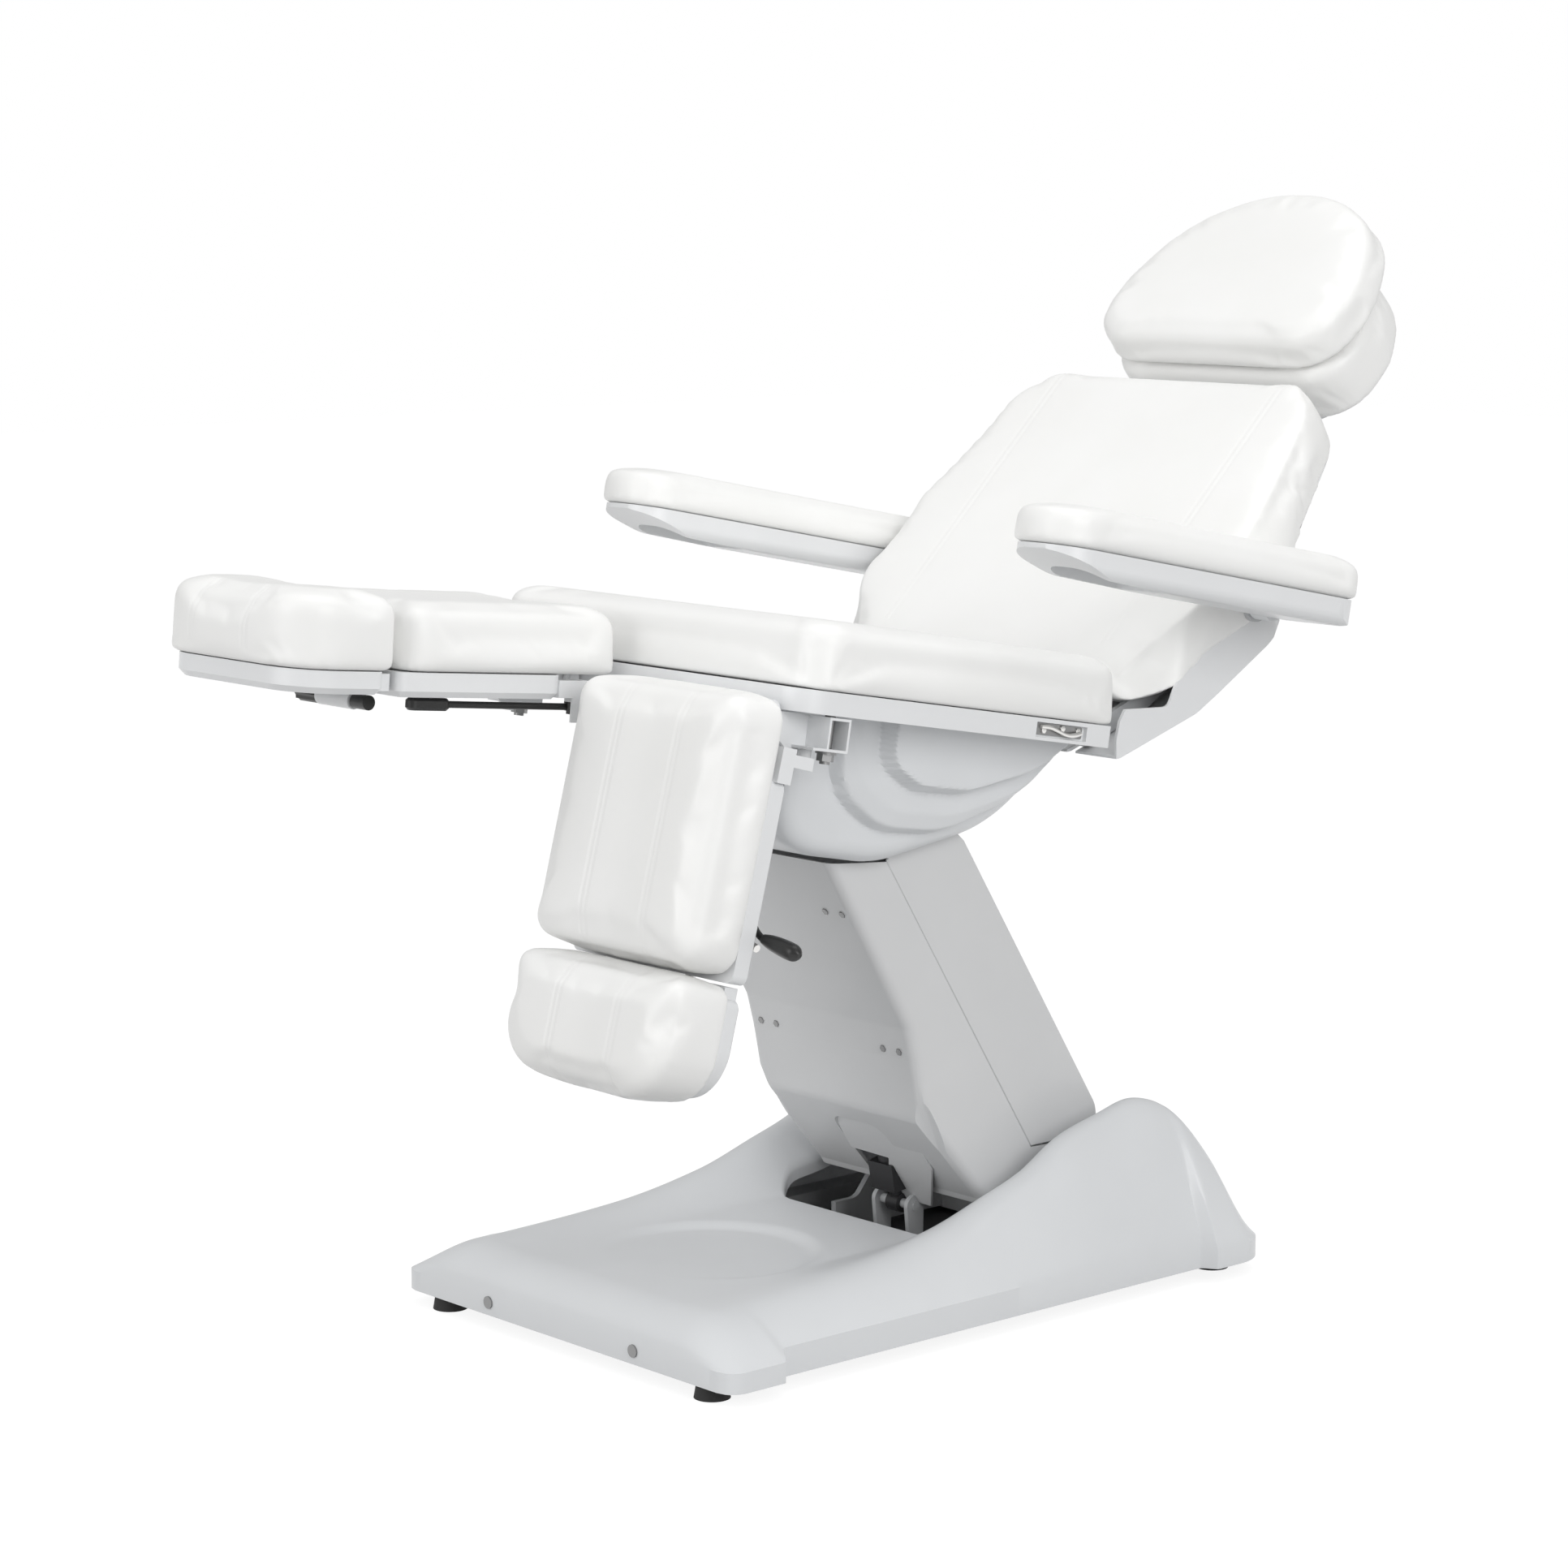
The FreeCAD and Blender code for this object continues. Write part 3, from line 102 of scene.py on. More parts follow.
def objectNoise(material, scale, detail=2.0, roughness=0.5):
    nodes = material.node_tree.nodes
    links = material.node_tree.links
    place = nodes.new("ShaderNodeTexCoord")
    noise = nodes.new("ShaderNodeTexNoise")
    noise.inputs["Scale"].default_value = scale
    noise.inputs["Detail"].default_value = detail
    noise.inputs["Roughness"].default_value = roughness
    links.new(place.outputs["Object"], noise.inputs["Vector"])
    return noise


def variedColour(material, noise, dark, light):
    nodes = material.node_tree.nodes
    links = material.node_tree.links
    ramp = nodes.new("ShaderNodeValToRGB")
    ramp.color_ramp.elements[0].position = 0.3
    ramp.color_ramp.elements[0].color = (*dark, 1)
    ramp.color_ramp.elements[1].position = 0.7
    ramp.color_ramp.elements[1].color = (*light, 1)
    links.new(noise.outputs["Fac"], ramp.inputs["Fac"])
    links.new(ramp.outputs["Color"], nodes["Principled BSDF"].inputs["Base Color"])


vinylLook = {"light": (0.93, 0.93, 0.92), "dark": (0.90, 0.90, 0.885), "roughness": 0.42,
             "grainScale": 900.0, "grainDepth": 0.00012}


def whiteVinyl():
    material = newMaterial("whiteVinyl", vinylLook["light"], vinylLook["roughness"],
                           Coat_Weight=0.15, Coat_Roughness=0.35, Sheen_Weight=0.05)
    nodes = material.node_tree.nodes
    links = material.node_tree.links
    shade = objectNoise(material, 6.0, 3.0)
    variedColour(material, shade, vinylLook["dark"], vinylLook["light"])
    place = nodes.new("ShaderNodeTexCoord")
    grain = nodes.new("ShaderNodeTexVoronoi")
    grain.inputs["Scale"].default_value = vinylLook["grainScale"]
    links.new(place.outputs["Object"], grain.inputs["Vector"])
    addBump(material, grain.outputs["Distance"], 0.25, vinylLook["grainDepth"])
    return material


mouldingLook = {
    "cover": (0.775, 0.79, 0.805), "coverDark": (0.755, 0.77, 0.785), "shell": (0.82, 0.83, 0.84),
    "shellDark": (0.80, 0.81, 0.82), "column": (0.70, 0.705, 0.71), "columnDark": (0.68, 0.685, 0.69),
    "frame": (0.55, 0.56, 0.57), "frameDark": (0.50, 0.51, 0.52), "mottleScale": 9.0, "grainScale": 1400.0,
    "grainStrength": 0.12, "grainDepth": 0.00008}


def moulding(name, light, dark, roughness):
    material = newMaterial(name, light, roughness, Coat_Weight=0.25, Coat_Roughness=0.2)
    variedColour(material, objectNoise(material, mouldingLook["mottleScale"], 2.0), dark, light)
    grain = objectNoise(material, mouldingLook["grainScale"], 1.0)
    addBump(material, grain.outputs["Fac"], mouldingLook["grainStrength"], mouldingLook["grainDepth"])
    return material


metalLook = {"steel": (0.78, 0.77, 0.75), "steelRoughness": 0.28, "zinc": (0.30, 0.30, 0.30),
             "zincRoughness": 0.4, "brushing": (40.0, 900.0, 900.0), "brushStrength": 0.15,
             "brushDepth": 0.00005}


def brushedMetal(name, colour, roughness):
    material = newMaterial(name, colour, roughness, Metallic=1.0)
    nodes = material.node_tree.nodes
    links = material.node_tree.links
    place = nodes.new("ShaderNodeTexCoord")
    stretch = nodes.new("ShaderNodeMapping")
    stretch.inputs["Scale"].default_value = metalLook["brushing"]
    brushing = nodes.new("ShaderNodeTexNoise")
    brushing.inputs["Scale"].default_value = 1.0
    links.new(place.outputs["Object"], stretch.inputs["Vector"])
    links.new(stretch.outputs["Vector"], brushing.inputs["Vector"])
    addBump(material, brushing.outputs["Fac"], metalLook["brushStrength"], metalLook["brushDepth"])
    return material


plasticLook = {"motor": (0.03, 0.03, 0.032), "handle": (0.012, 0.012, 0.012), "rubber": (0.018, 0.018, 0.018),
               "grainStrength": 0.3, "grainDepth": 0.0001}


def darkPlastic(name, colour, roughness, grain):
    material = newMaterial(name, colour, roughness)
    noise = objectNoise(material, grain, 3.0)
    addBump(material, noise.outputs["Fac"], plasticLook["grainStrength"], plasticLook["grainDepth"])
    return material


finishes = {
    "upholstery": whiteVinyl(),
    "moulded_base": moulding("greyHousing", mouldingLook["cover"], mouldingLook["coverDark"], 0.38),
    "pale_shell": moulding("paleShell", mouldingLook["shell"], mouldingLook["shellDark"], 0.36),
    "casing_paint": moulding("columnPaint", mouldingLook["column"], mouldingLook["columnDark"], 0.42),
    "frame_paint": moulding("framePaint", mouldingLook["frame"], mouldingLook["frameDark"], 0.45),
    "steel": brushedMetal("brightSteel", metalLook["steel"], metalLook["steelRoughness"]),
    "zinc": brushedMetal("darkZinc", metalLook["zinc"], metalLook["zincRoughness"]),
    "motor_black": darkPlastic("motorBlack", plasticLook["motor"], 0.5, 700.0),
    "handle_black": darkPlastic("handleBlack", plasticLook["handle"], 0.34, 500.0),
    "foot_rubber": darkPlastic("footRubber", plasticLook["rubber"], 0.7, 900.0),
}
print("materials made")

# screws and caps that show darker than the steel of their slot
zincNodes = ("cover_screw_caps", "casing_screws", "seat_pivot_bolts", "arm_pivot_bolts")


def dressFrameNodes():
    for entry in frame["record"]["subparts"]:
        node = frame["nodes"][entry["node"]]
        finish = finishes["zinc" if entry["node"] in zincNodes else entry["material_slot"]]
        if not node.material_slots:
            node.data.materials.append(finish)
        for materialSlot in node.material_slots:
            materialSlot.material = finish


dressFrameNodes()


# modelling by hand: small steps shared by the pieces
def clamped(share):
    return max(0.0, min(1.0, share))


def smoothStep(share):
    share = clamped(share)
    return share * share * (3 - 2 * share)


def clearSelection():
    if bpy.context.mode != "OBJECT":
        bpy.ops.object.mode_set(mode="OBJECT")
    bpy.ops.object.select_all(action="DESELECT")


def pickVertices(piece, wanted):
    # Select the vertices for which wanted(place in mm) is true, and stay in edit mode
    bpy.ops.object.mode_set(mode="EDIT")
    bpy.ops.mesh.select_mode(type="VERT")
    bpy.ops.mesh.select_all(action="DESELECT")
    bpy.ops.object.mode_set(mode="OBJECT")
    for vertex in piece.data.vertices:
        vertex.select = bool(wanted(vertex.co * 1000))
    bpy.ops.object.mode_set(mode="EDIT")


def cornerReach(corners, index):
    # How far a corner's rounding runs along its two sides, in mm
    here = Vector(corners[index][:2])
    towardsBefore = Vector(corners[index - 1][:2]) - here
    towardsAfter = Vector(corners[(index + 1) % len(corners)][:2]) - here
    half = towardsBefore.angle(towardsAfter) / 2
    return min(corners[index][2] / math.tan(half), 0.47 * min(towardsBefore.length, towardsAfter.length))


def outlineForm(name, corners, low, high, side=False, segments=6):
    # A flat outline drawn corner by corner, its corners rounded, then extruded from low to high
    clearSelection()
    bpy.ops.mesh.primitive_circle_add(vertices=len(corners), fill_type="NGON", radius=1)
    piece = bpy.context.object
    piece.name = name
    for vertex, corner in zip(piece.data.vertices, corners):
        vertex.co = (corner[0] / 1000, corner[1] / 1000, low / 1000)
    for index, corner in enumerate(corners):
        if len(corner) < 3:
            continue
        pickVertices(piece, lambda place: abs(place.x - corner[0]) < 0.05 and abs(place.y - corner[1]) < 0.05)
        bpy.ops.mesh.bevel(offset=cornerReach(corners, index) / 1000, segments=segments, affect="VERTICES")
    bpy.ops.object.mode_set(mode="EDIT")
    bpy.ops.mesh.select_all(action="SELECT")
    bpy.ops.mesh.extrude_region_move(TRANSFORM_OT_translate={"value": (0, 0, (high - low) / 1000)})
    bpy.ops.mesh.select_all(action="SELECT")
    bpy.ops.mesh.normals_make_consistent(inside=False)
    bpy.ops.object.mode_set(mode="OBJECT")
    if side:
        piece.data.transform(Matrix(((0, 0, 1, 0), (1, 0, 0, 0), (0, 1, 0, 0), (0, 0, 0, 1))))
    return piece


def applyModifier(piece, kind, **settings):
    bpy.context.view_layer.objects.active = piece
    modifier = piece.modifiers.new(kind.title(), kind)
    for setting, value in settings.items():
        setattr(modifier, setting, value)
    bpy.ops.object.modifier_apply(modifier=modifier.name)


def combine(piece, other, operation):
    # Boolean with another piece, which is used up
    applyModifier(piece, "BOOLEAN", operation=operation, object=other, solver="EXACT")
    bpy.data.objects.remove(other, do_unlink=True)


def sweptRod(name, points, sides=5):
    # A rod along a smooth line of points (x, y, z, radius), all in mm
    clearSelection()
    bpy.ops.curve.primitive_nurbs_path_add()
    rod = bpy.context.object
    rod.name = name
    rod.data.splines.clear()
    line = rod.data.splines.new("NURBS")
    line.points.add(len(points) - 1)
    for point, (x, y, z, radius) in zip(line.points, points):
        point.co = (x / 1000, y / 1000, z / 1000, 1)
        point.radius = radius
    line.order_u = 3
    line.use_endpoint_u = True
    line.resolution_u = 8
    rod.data.bevel_depth = 0.001
    rod.data.bevel_resolution = sides
    rod.data.use_fill_caps = True
    rod.select_set(True)
    bpy.context.view_layer.objects.active = rod
    bpy.ops.object.convert(target="MESH")
    return bpy.context.object


def finishPiece(piece, frameName, body, finishName, smoothAngle=35):
    # Put the finished mesh in its place on the chair and let it ride on its body
    clearSelection()
    piece.select_set(True)
    bpy.context.view_layer.objects.active = piece
    piece.data.transform(frameMatrix(frameName))
    piece.data.materials.clear()
    piece.data.materials.append(finishes[finishName])
    bpy.ops.object.shade_smooth_by_angle(angle=math.radians(smoothAngle))
    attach(piece, body)
    clearSelection()


softening = {"angle": 30.0, "segments": 2, "smoothAngle": 40}


def softenedCopy(name, node, body, finishName, edge, cuts=(), shape=None):
    # A moulded part after its frame node, with its sharp edges rounded off and, if given, its shape changed
    clearSelection()
    piece = bpy.data.objects.new(name, frame["nodes"][node].data.copy())
    bpy.context.scene.collection.objects.link(piece)
    piece.select_set(True)
    bpy.context.view_layer.objects.active = piece
    bpy.ops.object.mode_set(mode="EDIT")
    bpy.ops.mesh.select_all(action="SELECT")
    bpy.ops.mesh.remove_doubles(threshold=0.00002)
    for place, across in cuts:
        bpy.ops.mesh.select_all(action="SELECT")
        bpy.ops.mesh.bisect(plane_co=place, plane_no=across)
    bpy.ops.object.mode_set(mode="OBJECT")
    if shape:
        for vertex in piece.data.vertices:
            vertex.co = shape(vertex.co)
    bpy.ops.object.mode_set(mode="EDIT")
    bpy.ops.mesh.select_all(action="SELECT")
    bpy.ops.mesh.dissolve_limited(angle_limit=math.radians(1.5))
    bpy.ops.object.mode_set(mode="OBJECT")
    applyModifier(piece, "BEVEL", width=edge / 1000, segments=softening["segments"], limit_method="ANGLE",
                  angle_limit=math.radians(softening["angle"]), use_clamp_overlap=True)
    finishPiece(piece, "whole", body, finishName, softening["smoothAngle"])
    applyModifier(piece, "WEIGHTED_NORMAL", keep_sharp=True, weight=60)
    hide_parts(node)
    print("softened", name, len(piece.data.vertices), "points")


# cushions: foam under stretched vinyl, blown out a little by a cloth simulation
foam = {"voxel": 5.0, "pressure": 4.0, "frames": 20, "smoothing": 4, "settling": 3, "pinnedHeight": 6,
        "fill": 0.85}


def plump(piece, pinnedBelow, cap, shape=None):
    applyModifier(piece, "REMESH", mode="VOXEL", voxel_size=foam["voxel"] / 1000, use_smooth_shade=True)
    applyModifier(piece, "SMOOTH", factor=0.5, iterations=foam["smoothing"])
    if shape:
        for vertex in piece.data.vertices:
            vertex.co = shape(vertex.co * 1000) / 1000
    before = [vertex.co.copy() for vertex in piece.data.vertices]
    pinned = piece.vertex_groups.new(name="pinned")
    held = [vertex.index for vertex in piece.data.vertices if vertex.co.z * 1000 < pinnedBelow]
    pinned.add(held, 1.0, "ADD")
    bpy.context.view_layer.objects.active = piece
    cloth = piece.modifiers.new("Cloth", "CLOTH")
    cloth.settings.quality = 4
    cloth.settings.use_pressure = True
    cloth.settings.uniform_pressure_force = foam["pressure"]
    cloth.settings.effector_weights.gravity = 0
    cloth.settings.vertex_group_mass = "pinned"
    cloth.point_cache.frame_end = foam["frames"]
    for frameNumber in range(1, foam["frames"] + 1):
        bpy.context.scene.frame_set(frameNumber)
    bpy.ops.object.modifier_apply(modifier=cloth.name)
    bpy.context.scene.frame_set(1)
    for vertex, start in zip(piece.data.vertices, before):
        moved = vertex.co - start
        if moved.length > cap / 1000:
            vertex.co = start + moved.normalized() * cap / 1000
    piece.vertex_groups.clear()
    applyModifier(piece, "SMOOTH", factor=0.5, iterations=foam["settling"])


def pressIn(piece, depthAt):
    # Push the surface in along its normal by depthAt(place in mm, normal), in mm
    normals = [vertex.normal.copy() for vertex in piece.data.vertices]
    for vertex, normal in zip(piece.data.vertices, normals):
        depth = depthAt(vertex.co * 1000, normal)
        if depth:
            vertex.co -= normal * (depth / 1000)


def groove(distance, depth, width):
    return depth * math.exp(-(distance / width) ** 2)


def softTop(piece, top, offset):
    # Round the upper edge of a slab before it is padded
    pickVertices(piece, lambda place: place.z > top - 0.5)
    bpy.ops.mesh.bevel(offset=offset / 1000, segments=4, affect="EDGES")
    bpy.ops.object.mode_set(mode="OBJECT")


def makeCushion(name, node, corners, low, high, frameName, body, cap, edge=0, seams=None, sideCorners=None,
                width=None, hollow=None, shape=None):
    # One padded piece: its outline seen from above, and from the side where sideCorners are given
    piece = outlineForm(name, corners, low, high)
    if sideCorners:
        profile = outlineForm(name + "Profile", sideCorners, -width, width, side=True)
        combine(piece, profile, "INTERSECT")
    else:
        softTop(piece, high, edge)
    if hollow:
        combine(piece, outlineForm(name + "Hollow", *hollow), "DIFFERENCE")
    plump(piece, low + foam["pinnedHeight"], cap, shape)
    applyModifier(piece, "SUBSURF", levels=1, render_levels=1)
    if seams:
        pressIn(piece, seams)
    finishPiece(piece, frameName, body, "upholstery", 180)
    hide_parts(node)
    print("cushion", name, len(piece.data.vertices), "points")


seatCushion = {"halfWidth": 296.0, "front": -243.0, "rear": 246.0, "low": 22.6, "high": 96.0,
               "frontCorner": 45.0, "rearCorner": 24.0, "edge": 20.0, "cap": 5.0}


def seatPad():
    c = seatCushion
    half = c["halfWidth"]
    corners = [(-half, c["front"], c["frontCorner"]), (half, c["front"], c["frontCorner"]),
               (half, c["rear"], c["rearCorner"]), (-half, c["rear"], c["rearCorner"])]
    makeCushion("seatCushion", "seat_pad", corners, c["low"], c["high"], "seat", "seat", c["cap"], c["edge"])


seatPad()

backCushion = {"halfWidth": 296.0, "cap": 6.0, "seamX": 190.0, "seamGap": 9.0, "seamDepth": 0.7,
               "seamWidth": 1.5, "seamStart": -20.0, "pinch": 0.19, "pinchFrom": 70.0, "pinchRun": 140.0,
               "top": 438.0, "foot": -240.0, "fullTo": 200.0, "narrowing": 38.0, "narrowAt": 386.0,
               "hollowHalf": 236.0, "hollowTop": 392.0, "hollowDepth": -60.5,
               "rim": [(-30, -52), (31, -62), (80, -82), (124, -96), (200, -90), (300, -83), (438, -76)]}


def rimLevel(y):
    # How far back the cushion reaches at its sides
    line = backCushion["rim"]
    for (y1, n1), (y2, n2) in zip(line, line[1:]):
        if y <= y2 or y2 == line[-1][0]:
            return n1 + (n2 - n1) * clamped((y - y1) / (y2 - y1))


def backPad():
    c = backCushion
    half = c["halfWidth"]
    narrow = half - c["narrowing"]
    front = [(-half, c["foot"]), (half, c["foot"]), (half, c["fullTo"], 90), (narrow, c["narrowAt"], 70),
             (200, c["top"], 45), (-200, c["top"], 45), (-narrow, c["narrowAt"], 70),
             (-half, c["fullTo"], 90)]
    side = [(-36, -3, 40), (c["top"], -3, 20)] + [(y, n + 1.5) for y, n in reversed(c["rim"])]
    side += [(-88, -22, 12), (-88, -7, 8)]
    inner = c["hollowHalf"]
    under = [(-inner, -200, 5), (inner, -200, 5), (inner, c["hollowTop"], 40), (-inner, c["hollowTop"], 40)]

    def drawnAtBottom(place):
        # Low on the back the cushion's face is narrower than its foot
        low = smoothStep((c["pinchFrom"] - place.y) / c["pinchRun"])
        share = low * smoothStep((place.z + 52) / 46)
        return Vector((place.x * (1 - c["pinch"] * share), place.y, place.z))

    def seams(place, normal):
        depth = 0
        if normal.z > 0.4 and place.y > c["seamStart"]:
            for offset in (-c["seamGap"] / 2, c["seamGap"] / 2):
                depth += groove(abs(place.x) - c["seamX"] - offset, c["seamDepth"], c["seamWidth"])
        return depth
    makeCushion("backCushion", "back_pad", front, -220, 60, "back", "backrest", c["cap"], seams=seams,
                sideCorners=side, width=320, hollow=(under, -150, c["hollowDepth"]), shape=drawnAtBottom)


backPad()

armCushion = {"centre": 366.0, "halfWidth": 58.0, "front": -455.0, "rear": 67.0, "low": 0.4, "high": 45.0,
              "frontCorner": 52.0, "rearCorner": 32.0, "edge": 17.0, "cap": 4.0}


def armPads():
    c = armCushion
    for name, sign in sideSigns.items():
        inner, outer = c["centre"] - c["halfWidth"], c["centre"] + c["halfWidth"]
        corners = [(sign * inner, c["front"], c["frontCorner"]), (sign * outer, c["front"], c["frontCorner"]),
                   (sign * outer, c["rear"], c["rearCorner"]), (sign * inner, c["rear"], c["rearCorner"])]
        makeCushion(name + "ArmCushion", name + "_arm_pad", corners, c["low"], c["high"], "arm",
                    name + "_arm", c["cap"], c["edge"])


armPads()

legCushions = {"inner": 11.0, "outer": 298.0, "calfStart": 9.0, "calfEnd": -298.0, "calfLow": 10.4,
               "calfHigh": 83.0, "calfCorner": 28.0, "footStart": -309.0, "footEnd": -446.0,
               "footHigh": 93.0, "footCorner": 62.0, "ankleCorner": 18.0, "edge": 20.0, "cap": 5.0,
               "seamShares": (0.34, 0.70), "seamGap": 7.0, "seamDepth": 0.9, "seamWidth": 1.8,
               "dipDepth": 2.5, "dipWidth": 45.0}


def legSeams(sign):
    # Two double seams along each pad and a shallow dip between them
    c = legCushions
    lines = [sign * (c["inner"] + (c["outer"] - c["inner"]) * share) for share in c["seamShares"]]

    def seams(place, normal):
        depth = 0
        if normal.z > -0.2:
            for line in lines:
                for offset in (-c["seamGap"] / 2, c["seamGap"] / 2):
                    depth += groove(place.x - line - offset, c["seamDepth"], c["seamWidth"])
            middle = (lines[0] + lines[1]) / 2
            depth += groove(place.x - middle, c["dipDepth"], c["dipWidth"]) * max(0, normal.z)
        return depth
    return seams


def legPads():
    c = legCushions
    for name, sign in sideSigns.items():
        inner, outer = sign * c["inner"], sign * c["outer"]
        calf = [(inner, c["calfStart"], c["calfCorner"]), (outer, c["calfStart"], c["calfCorner"]),
                (outer, c["calfEnd"], c["calfCorner"]), (inner, c["calfEnd"], c["calfCorner"])]
        makeCushion(name + "CalfCushion", name + "_calf_pad", calf, c["calfLow"], c["calfHigh"],
                    name + "Leg", name + "_leg", c["cap"], c["edge"], legSeams(sign))
        foot = [(inner, c["footStart"], c["ankleCorner"]), (outer, c["footStart"], c["ankleCorner"]),
                (outer, c["footEnd"], c["footCorner"]), (inner, c["footEnd"], c["footCorner"])]
        makeCushion(name + "FootCushion", name + "_foot_pad", foot, c["calfLow"], c["footHigh"],
                    name + "Leg", name + "_foot", c["cap"], c["edge"], legSeams(sign))


legPads()

headCushions = {"halfWidth": 200.0, "pillowBottom": 484.0, "pillowTop": 759.0, "pillowLow": -44.5,
                "pillowHigh": 9.0, "bolsterShare": 0.97, "bolsterBottom": 476.0, "bolsterTop": 716.0,
                "bolsterLow": -124.5, "bolsterHigh": -48.0, "cap": 4.0, "pillowEdge": 16, "bolsterEdge": 14,
                "outline": [(0.94, 0.0, 62), (1.07, 0.33, 130), (0.82, 0.79, 140), (0.30, 1.012, 170)]}


def headOutline(half, bottom, top):
    # Up the right side by shares of the half width and of the height, then down the left
    right = [(half * wide, bottom + (top - bottom) * high, radius)
             for wide, high, radius in headCushions["outline"]]
    return right + [(-x, y, radius) for x, y, radius in reversed(right)]


def headPads():
    c = headCushions
    makeCushion("headPillow", "head_pillow", headOutline(c["halfWidth"], c["pillowBottom"], c["pillowTop"]),
                c["pillowLow"], c["pillowHigh"], "back", "headrest", c["cap"], c["pillowEdge"])
    makeCushion("headBolster", "head_bolster",
                headOutline(c["halfWidth"] * c["bolsterShare"], c["bolsterBottom"], c["bolsterTop"]),
                c["bolsterLow"], c["bolsterHigh"], "back", "headrest", c["cap"], c["bolsterEdge"])


headPads()
print("cushions done")

# base: one moulded skin with two raised wings beside an open well
baseLook = {"halfWidth": 283.0, "earWidth": 302.0, "front": -436.0, "rear": 466.0, "frontEarEnd": -348.0,
            "rearEarStart": 352.0, "earBlend": 16.0, "cornerRound": 24.0, "rearRound": 66.0, "rim": 18.0,
            "crease": 52.0, "earCrease": 42.0, "plateau": 84.0, "wingCrest": 205.0, "wingFoot": 128.0,
            "rearHump": 0.6, "shoulder": 60.0, "columns": 120, "rows": 190, "crowding": 0.06,
            "wall": 4.0, "wellHalf": 160.0, "wellFront": 28.0, "wellRear": 335.0, "wellCorner": 50.0,
            "lipDrop": 12.0, "lip": 5.0, "wellRows": 10, "rollRows": 6,
            "dishRadius": 136.0, "dishY": -208.0, "dishDepth": 7.0, "dishEdge": 20.0,
            "wingLine": [(-436, 84), (-161, 96), (-31, 117), (48, 142), (118, 166), (173, 197), (243, 216),
                         (300, 226), (359, 206), (404, 160), (440, 95), (466, 70)]}


def wingHeight(y):
    # A smooth curve through the wing line's points
    line = baseLook["wingLine"]
    for index in range(len(line) - 1):
        if y <= line[index + 1][0] or index == len(line) - 2:
            break
    before, start = line[max(0, index - 1)], line[index]
    end, after = line[index + 1], line[min(len(line) - 1, index + 2)]
    span = end[0] - start[0]
    share = clamped((y - start[0]) / span)
    slopeIn = (end[1] - before[1]) / (end[0] - before[0]) * span
    slopeOut = (after[1] - start[1]) / (after[0] - start[0]) * span
    square, cube = share * share, share ** 3
    return ((2 * cube - 3 * square + 1) * start[1] + (cube - 2 * square + share) * slopeIn
            + (3 * square - 2 * cube) * end[1] + (cube - square) * slopeOut)


def earShare(y):
    # 1 at the housing's wider ends, 0 between them
    b = baseLook
    blend = b["earBlend"]
    return max(smoothStep((b["frontEarEnd"] + blend / 2 - y) / blend),
               smoothStep((y - b["rearEarStart"] + blend / 2) / blend))


def coverHalf(y):
    b = baseLook
    half = b["halfWidth"] + (b["earWidth"] - b["halfWidth"]) * earShare(y)
    nearest = min(y - b["front"], b["rear"] - y)
    radius = b["cornerRound"] if y < 0 else b["rearRound"]
    if nearest < radius:
        half -= radius - math.sqrt(max(0.0, radius ** 2 - (radius - nearest) ** 2))
    return half


def coverHeight(x, y):
    b = baseLook
    crest = wingHeight(y)
    side = abs(x)
    crease = b["crease"] + (b["earCrease"] - b["crease"]) * earShare(y)
    if side > b["wingCrest"]:
        share = min(1.0, (side - b["wingCrest"]) / (coverHalf(y) - b["wingCrest"]))
        height = crease + (crest - crease) * math.cos(share * math.pi / 2)
    else:
        share = smoothStep((side - b["wingFoot"]) / (b["wingCrest"] - b["wingFoot"]))
        share = max(share, b["rearHump"] * smoothStep((y - b["wellRear"] + 50) / 60))
        height = b["plateau"] + (crest - b["plateau"]) * share
    share = min(1.0, min(y - b["front"], b["rear"] - y) / b["shoulder"])
    height = crease + (height - crease) * math.sqrt(max(0.0, 1 - (1 - share) ** 2))
    distance = math.hypot(x, y - b["dishY"])
    dish = smoothStep((b["dishRadius"] - distance) / b["dishEdge"]) * smoothStep((y - b["dishY"] + 130) / 170)
    return height - b["dishDepth"] * dish


def wellOutline(grow):
    b = baseLook
    half, corner = b["wellHalf"] + grow, b["wellCorner"] + grow
    return [(-half, b["wellFront"] - grow, corner), (half, b["wellFront"] - grow, corner),
            (half, b["wellRear"] + grow, corner - 10), (-half, b["wellRear"] + grow, corner - 10)]


def drapeGrid(name):
    # A grid pressed to the height of the housing, its rows closer together near the two ends
    b = baseLook
    clearSelection()
    bpy.ops.mesh.primitive_grid_add(x_subdivisions=b["columns"], y_subdivisions=b["rows"], size=1)
    piece = bpy.context.object
    piece.name = name
    for vertex in piece.data.vertices:
        across, along = vertex.co.x * 2, vertex.co.y + 0.5
        along -= b["crowding"] * math.sin(2 * math.pi * along)
        y = b["front"] + (b["rear"] - b["front"]) * along
        x = across * coverHalf(y)
        vertex.co = (x / 1000, y / 1000, coverHeight(x, y) / 1000)
    return piece


def skirt(piece, bottom):
    # Draw the grid's edge straight down to a level
    bpy.ops.object.mode_set(mode="EDIT")
    bpy.ops.mesh.select_all(action="SELECT")
    bpy.ops.mesh.region_to_loop()
    bpy.ops.mesh.extrude_edges_move(TRANSFORM_OT_translate={"value": (0, 0, -0.01)})
    bpy.ops.object.mode_set(mode="OBJECT")
    for vertex in piece.data.vertices:
        if vertex.select:
            vertex.co.z = bottom / 1000


